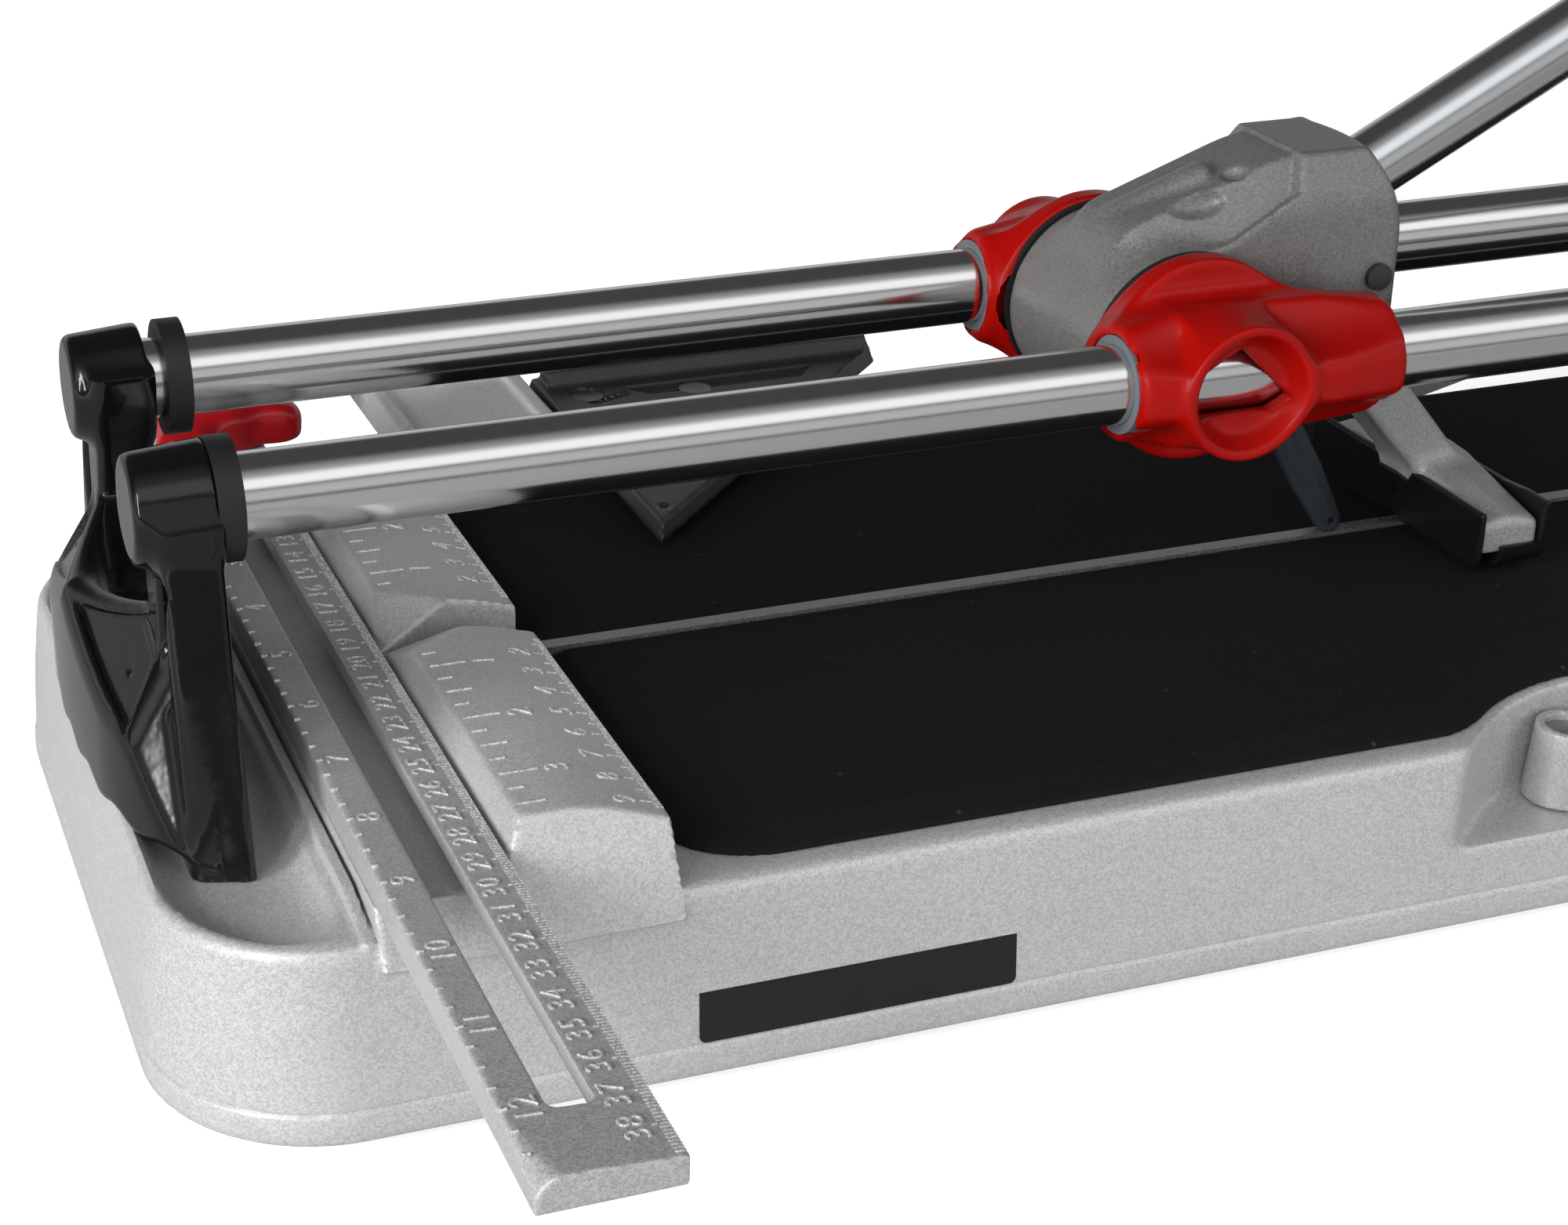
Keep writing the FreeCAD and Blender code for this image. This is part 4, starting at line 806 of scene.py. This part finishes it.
def arm_solid(x, y, z):
    """The separator arm as a distance field: a crowned bar, its hub, and a roof-shaped foot."""
    w, across = np.abs(y), np.abs(x - FOOT_ALONG)
    side = outline(x + 0.12 * w, z + 0.10 * w, ARM_SIDE)
    bar = common(side, w - 8.4, 2)
    rivet = np.hypot(x - RIVET_ALONG, z - RIVET_HEIGHT)
    hub = common(rivet - 4.2, w - 8.4, 0.5)
    bar = joined(bar, hub, 0.5)
    roof = z - 70.3 + 0.21 * np.maximum(w - 6, 0) + 0.13 * across
    foot = common(common(across - 8, w - 35, 1.2), roof * 0.96, 2.2)
    foot = np.maximum(foot, 55.7 - z)
    arm = joined(bar, foot, 4)
    arm = cut_from(arm, rivet - 2.15, 0.2)
    return cut_from(arm, np.hypot(y, z - FOOT_PIN_HEIGHT) - 1.55, 0.2)


arm_grey = cast_finish("arm_alloy_paint", (0.34, 0.34, 0.335), 0.35, 0.42, 0.45, 0.14)
arm_x = spaced((-130.2, 0.7), (-79.9, 1))
arm_y = spaced((-36.4, 0.7), (36.4, 1))
breaker = skin("breaker_arm_casting", arm_solid, arm_x, arm_y, spaced((54.4, 0.7), (129.8, 1)))
fit_out(breaker, "breaker", "arm_alloy", arm_grey, "breaker_arm")


# ---- Shoe ---------------------------------------------------------------------------
# The shoe that presses on both halves of the tile is moulded in black nylon. It is a
# channel that clips on under the foot: two side walls, the rear one with low ears, a stepped
# lip at each end, a dip in the middle and a shallow arch over the strip.


def shoe_solid(x, y, z):
    """The shoe as a distance field: a channel with a hollow for the foot, ears, lips and an arch."""
    w, u = np.abs(y), x - FOOT_ALONG
    ear = 0.9 * np.clip((w - 19) / 9, 0, 1) * np.clip(u / 4, 0, 1)
    dip = 2.6 * np.clip((7.5 - w) / 1.5, 0, 1)
    outer = common(np.abs(u) - 9.65 - 0.05 * np.maximum(z - 58, 0) * (u > 0), w - 36.7, 1.0)
    outer = common(outer, z - 66.8 - ear + dip, 0.6)
    outer = common(outer, 52.5 + 2.0 * np.clip(1 - w / 4, 0, 1) - z, 0.4)
    outer = common(outer, 0.8 * (w - 36.7) + 0.6 * (54.6 - z), 0.6)
    inside = np.maximum(np.maximum(np.abs(u) - 8.15, w - 35.15), 55.5 - z)
    lip = np.where(u < -3, 54.0, 57.5) + 0.9 * np.clip(u + 3, -1, 0)
    ends = np.maximum(np.abs(u) - 8.15, lip - z)
    shoe = cut_from(outer, np.minimum(inside, ends), 0.3)
    return cut_from(shoe, np.hypot(y, z - FOOT_PIN_HEIGHT) - 1.55, 0.2)


def moulded_finish(name, colour, rough=0.4, shine=0.4, grain=0.15):
    """Moulded plastic: a fine satin grain with faint wear in its gloss."""
    material = bpy.data.materials.new(name)
    start, output = shader_tree(material)
    place = start.node("TexCoord", out=3)
    fine = start.node("TexNoise", {0: place, "Scale": 1400.0, "Detail": 3.0})
    wear = start.node("TexNoise", {0: place, "Scale": 55.0, "Detail": 5.0, "Roughness": 0.65})
    gloss = wear * 0.22 + (rough - 0.11)
    tint = start.node("VectorMath", {0: grey(colour)[:3], 3: (wear - 0.5) * 0.4 + 1.0}, operation="SCALE")
    bump = start.node("Bump", {"Height": fine, "Strength": grain, "Distance": 0.0002})
    shader = start.node("BsdfPrincipled", {"Base Color": tint, "Roughness": gloss, "Normal": bump,
                                           "Specular IOR Level": shine})
    start.tree.links.new(shader.socket, output.inputs[0])
    return material


nylon_black = moulded_finish("shoe_nylon", 0.004, 0.34, 0.4)
shoe_x = spaced((-100.6, 0.45), (-95.6, 1.2), (-83.8, 0.45), (-78, 1))
shoe_y = spaced((-38.2, 0.55), (-33, 0.9), (33, 0.55), (38.2, 1))
shoe = skin("breaker_shoe_moulding", shoe_solid, shoe_x, shoe_y, spaced((51.6, 0.5), (70.6, 1)))
fit_out(shoe, "breaker", "shoe_black", nylon_black, "breaker_shoe")


# ---- Lateral stop -------------------------------------------------------------------
# A cast carrier is clamped on the ruler's far end and reaches over the bed behind the far
# rail. Its foot has raised edges and a small notch at its near corner, and carries the set
# square on a tongue.


CLAMP_ACROSS = 115


def block(x, y, z, low, high, corner=0.8):
    """Distance to a box between two corners, its edges rounded."""
    sides = common(np.maximum(low[0] - x, x - high[0]), np.maximum(low[1] - y, y - high[1]), corner)
    return common(sides, np.maximum(low[2] - z, z - high[2]), corner)


def from_screw(x, y):
    """Distance from the nearer of the two screws that hold the set square."""
    return np.minimum(np.hypot(x + 267, y - 132), np.hypot(x + 237, y - 128))


def carrier_solid(x, y, z):
    """The carrier as a distance field: ruler plate, cross arm, foot with its rims, and tongue."""
    plate_part = block(x, y, z, (-387.8, 97.2, 59.3), (-361.6, 189.8, 63.2))
    arm = block(x, y, z, (-387.8, 158.2, 59.3), (-298.9, 189.8, 63.2))
    neck = block(x, y, z, (-322.6, 158.2, 52.6), (-298.9, 189.8, 63.2))
    foot = block(x, y, z, (-322.6, 116.2, 46.5), (-279.6, 189.8, 57.4), 1.2)
    tray = block(x, y, z, (-318.2, 120.2, 55.4), (-284, 156.5, 60), 1.5)
    foot = cut_from(foot, tray, 0.8)
    notch = block(x, y, z, (-320.2, 114, 54), (-316.8, 124.5, 60), 0.4)
    foot = cut_from(foot, notch, 0.6)
    tongue = block(x, y, z, (-279.9, 116.2, 46.5), (-205.2, 149.8, 52.3))
    body = joined(joined(plate_part, arm, 1), joined(neck, joined(foot, tongue, 0.5), 2), 2)
    stud_hole = np.hypot(x - SLOT_MIDDLE, y - CLAMP_ACROSS) - 3.1
    return cut_from(body, np.minimum(from_screw(x, y) - 2.6, stud_hole), 0.3)


carrier = skin("stop_carrier_casting", carrier_solid,
               spaced((-389, 1), (-360, 2.5), (-324, 0.7), (-278, 3), (-207, 0.9), (-204, 1)),
               spaced((96, 0.9), (100, 2.5), (113.5, 0.7), (160, 2.5), (187, 0.9), (191, 1)),
               spaced((45.6, 0.7), (64.3, 1)))
carrier_paint = cast_finish("carrier_silver", (0.50, 0.50, 0.50), 0.4, 0.42, 0.45)
fit_out(carrier, "lateral_stop", "fence_alloy", carrier_paint, "stop_carrier")


# ---- Set square ---------------------------------------------------------------------
# The square is moulded in black nylon, a right triangle with bevelled sides. A raised band
# stiffens its long far side, and its top has a slot, two round recesses and a V groove.

SQUARE_PLAN = [(-278.9, 149.9), (-278.9, 40.2), (-177.3, 141.8), (-177.3, 149.9)]


def square_solid(x, y, z):
    """The square as a distance field: a triangle whose sides lean in, a raised band and recesses."""
    plan = outline(x, y, SQUARE_PLAN)
    sides = plan * 0.95 + 0.3 * np.maximum(z - 53.4, 0)
    body = common(sides, np.maximum(52.55 - z, z - 57.45), 0.5)
    band = common(plan * 0.95 + 0.3 * (z - 53.4), (138.5 - y + 1.1 * (z - 57.4)) * 0.67, 1.0)
    band = common(band, z - 61.4, 0.8)
    band = np.maximum(band, np.maximum(53 - z, -275.5 - x))
    body = joined(body, band, 0.8)
    shelf = outline(x, y, [(-256, 134), (-250, 126.5), (-206, 126.5), (-200, 134)])
    slot = np.maximum(shelf, 56 - z)
    discs = np.minimum(np.hypot(x + 262, y - 109), np.hypot(x + 274, y - 52) + 3.4) - 4.6
    slot = np.minimum(slot, np.maximum(discs, 56.4 - z))
    vee = np.minimum(outline(x, y, [(-270, 134), (-268, 124), (-265.5, 124), (-267, 134)]),
                     outline(x, y, [(-268, 124), (-256, 128), (-257, 130.5), (-266, 126.8)]))
    slot = np.minimum(slot, np.maximum(vee, 56.7 - z))
    body = cut_from(body, slot, 0.5)
    screws = from_screw(x, y)
    return cut_from(body, np.minimum(screws - 2.6, np.maximum(screws - 4.7, 54.9 - z)), 0.3)


square_nylon = moulded_finish("square_nylon", 0.010, 0.36, 1.0)
square = skin("set_square_moulding", square_solid, spaced((-280, 0.8), (-172.6, 1)),
              spaced((39, 0.9), (151, 1)), spaced((51.8, 0.6), (62.3, 1)))
fit_out(square, "lateral_stop", "square_black", square_nylon, "set_square")


# ---- Clamp knob ---------------------------------------------------------------------
# The knob that clamps the stop is moulded in glossy red nylon, with three rounded lobes
# and deep hollows between them for the fingers.


def knob_solid(x, y, z):
    """The knob as a distance field: three discs blended into a hub, with rounded rims."""
    u, v = x - SLOT_MIDDLE, y - CLAMP_ACROSS
    hub = np.hypot(u, v) - 13
    for turn in (0, 120, 240):
        a = math.radians(turn)
        hub = joined(hub, np.hypot(u - 17.6 * math.cos(a), v - 17.6 * math.sin(a)) - 7.2, 7)
    top = z - 75.2 + 0.006 * (u * u + v * v) * (z > 60)
    body = common(hub - 0.06 * (z - 69), top, 4.5)
    body = common(body, 63.4 - z, 1.5)
    return cut_from(body, np.maximum(np.hypot(u, v) - 3.1, z - 69.4), 0.3)


knob_red = moulded_finish("knob_nylon", (0.30, 0.003, 0.006), 0.26, 0.4, 0.05)
knob_places = spaced((-27.5, 0.8), (27.5, 1))
knob = skin("stop_knob_moulding", knob_solid, knob_places + SLOT_MIDDLE, knob_places + CLAMP_ACROSS,
            spaced((62.6, 0.7), (76, 1)))
fit_out(knob, "knob", "knob_red", knob_red, "stop_knob")


# ---- Side arms ----------------------------------------------------------------------
# Two cast arms fold out of the pockets to carry wide tiles: a tall tapered hub on a screw,
# a bar with a channel along its top, and a round tip under a rubber pad.


ARM_PIVOT_ALONG, ARM_PIVOT_ACROSS = -112, 92


def turn_and_move(piece, degrees, plane, move):
    """Turn a mesh in the plane of two axes, (u cos - v sin, u sin + v cos), then move it, in mm."""
    points = np.empty(len(piece.data.vertices) * 3)
    piece.data.vertices.foreach_get("co", points)
    points = points.reshape(-1, 3)
    u, v = points[:, plane].T
    cosine, sine = math.cos(math.radians(degrees)), math.sin(math.radians(degrees))
    points[:, plane] = np.stack([u * cosine - v * sine, u * sine + v * cosine], 1)
    piece.data.vertices.foreach_set("co", (points + np.array(move) * MM).ravel())
    piece.data.update()


def side_arm_solid(x, y, z):
    """A side arm as a distance field with its pivot at the origin: hub, channelled bar and tip."""
    hub = common(np.hypot(x, y) - 8.2 + 0.066 * (z - 22.6), np.maximum(22.7 - z, z - 41), 0.8)
    bar = common(np.maximum(-x, x - 280), np.abs(y) - 5.4, 1)
    bar = common(bar, np.maximum(24.6 - z, z - 37.9), 1.5)
    channel = plate(x - 144, y, 124, 2.6, 2)
    bar = cut_from(bar, np.maximum(channel, 33.5 - z), 0.8)
    tip = common(np.hypot(x - 280, y) - 8.9, np.maximum(24.6 - z, z - 48), 1)
    body = joined(joined(hub, bar, 2.5), tip, 2.5)
    socket = np.maximum(np.hypot(x, y) - 5.1, 36 - z)
    return cut_from(body, np.minimum(socket, np.hypot(x, y) - 3.1), 0.5)


arm_silver = cast_finish("side_arm_silver", (0.46, 0.46, 0.46), 0.25, 0.38, 0.5, 0.1)
for arm_name, arm_side, arm_swing in (("side_arm_near", -1, 0.0), ("side_arm_far", 1, 20.5966)):
    side_arm = skin(arm_name + "_casting", side_arm_solid,
                    spaced((-9.3, 0.7), (24, 5), (264, 0.8), (290, 1)),
                    spaced((-9.8, 0.7), (9.8, 1)), spaced((21.8, 0.8), (49, 1)))
    turn_and_move(side_arm, arm_swing, [0, 1], (ARM_PIVOT_ALONG, ARM_PIVOT_ACROSS * arm_side, 0))
    fit_out(side_arm, arm_name.replace("side_", ""), "arm_alloy", arm_silver, arm_name)


# ---- Handle grip --------------------------------------------------------------------
# The upper end of the handle has a moulded rubber grip: a collar, a swelling palm part
# with ring grooves, and a rounded end that closes the tube.


def grip_solid(x, y, z):
    """The grip as a distance field along X: a turned outline with grooves, bored for the tube."""
    ring = np.hypot(y, z)
    palm = 11.6 + 1.6 * np.sin(np.clip((x - 170) / 112, 0, 1) * math.pi)
    grooves = 0.8 * np.exp(-(((x - 182) % 8 - 4) / 1.1) ** 2) * ((x > 184) & (x < 272))
    body = common(ring - palm + grooves, np.maximum(167.2 - x, x - 286.8), 5)
    collar = common(ring - 13.3, np.abs(x - 170) - 2.6, 1.2)
    body = joined(body, collar, 1.5)
    return cut_from(body, np.maximum(ring - 8.4, x - 283.1), 0.4)


HANDLE_TILT = 27.6
grip_rubber = moulded_finish("grip_rubber_black", 0.015, 0.55, 0.35, 0.3)
grip = skin("handle_grip_moulding", grip_solid, spaced((166, 1), (288, 1)),
            spaced((-14.4, 0.8), (14.4, 1)), spaced((-14.4, 0.8), (14.4, 1)))
turn_and_move(grip, HANDLE_TILT, [0, 2], (HANDLE_ALONG, 0, HANDLE_HEIGHT))
fit_out(grip, "head", "grip_rubber", grip_rubber, "handle_grip")


# ---- Turned and pressed parts -------------------------------------------------------
# The rails and the handle are hard-chromed tubes, polished along their length. Rings,
# screws, pins, feet and the plain label are small standard parts in their own finishes.


def chrome_finish(name, colour, rough):
    """Drawn and chromed tube: fine lines round it blur the reflection a little, with faint haze."""
    material = bpy.data.materials.new(name)
    start, output = shader_tree(material)
    place = start.node("TexCoord", out=3)
    stretched = start.node("VectorMath", {0: place, 1: (900.0, 40.0, 40.0)}, operation="MULTIPLY")
    lines = start.node("TexNoise", {0: stretched, "Scale": 1.0, "Detail": 2.0})
    haze = start.node("TexNoise", {0: place, "Scale": 18.0, "Detail": 4.0})
    gloss = haze * 0.07 + lines * 0.05 + (rough - 0.06)
    bump = start.node("Bump", {"Height": lines, "Strength": 0.04, "Distance": 0.0002})
    shader = start.node("BsdfPrincipled", {"Base Color": grey(colour), "Roughness": gloss,
                                           "Metallic": 1.0, "Normal": bump})
    start.tree.links.new(shader.socket, output.inputs[0])
    return material


def dress(finish, *nodes):
    """Give CAD nodes that stay in view their finish."""
    for node in nodes:
        mesh = bpy.data.objects[node].data
        mesh.materials.clear()
        mesh.materials.append(finish)


dress(chrome_finish("rail_chrome", (0.80, 0.80, 0.81), 0.15), "rail_near", "rail_far")
dress(chrome_finish("handle_chrome", (0.72, 0.74, 0.76), 0.20), "handle_tube")
screw_finish = chrome_finish("screw_plating", (0.32, 0.32, 0.32), 0.3)
dress(screw_finish, "support_screws", "arm_pivot_screws", "head_axle", "holder_screw",
      "wheel_pin", "square_screws", "stop_stud")
dress(chrome_finish("pin_steel", (0.12, 0.12, 0.12), 0.35), "breaker_rivet", "shoe_pin")
dress(chrome_finish("wheel_carbide", (0.42, 0.43, 0.44), 0.22), "scoring_wheel")
ring_rubber = moulded_finish("ring_rubber_black", 0.010, 0.5, 0.4, 0.1)
dress(ring_rubber, "buffer_rings", "gasket_rings", "rubber_feet", "arm_pad_near", "arm_pad_far")
dress(moulded_finish("bush_nylon", (0.10, 0.11, 0.12), 0.5, 0.3), "slide_bushes")
dress(moulded_finish("label_film", 0.008, 0.22, 0.5, 0.0), "blank_label")
dress(cast_finish("strip_alloy", (0.46, 0.46, 0.45), 0.2, 0.34, 0.9, 0.1), "breaking_strip")
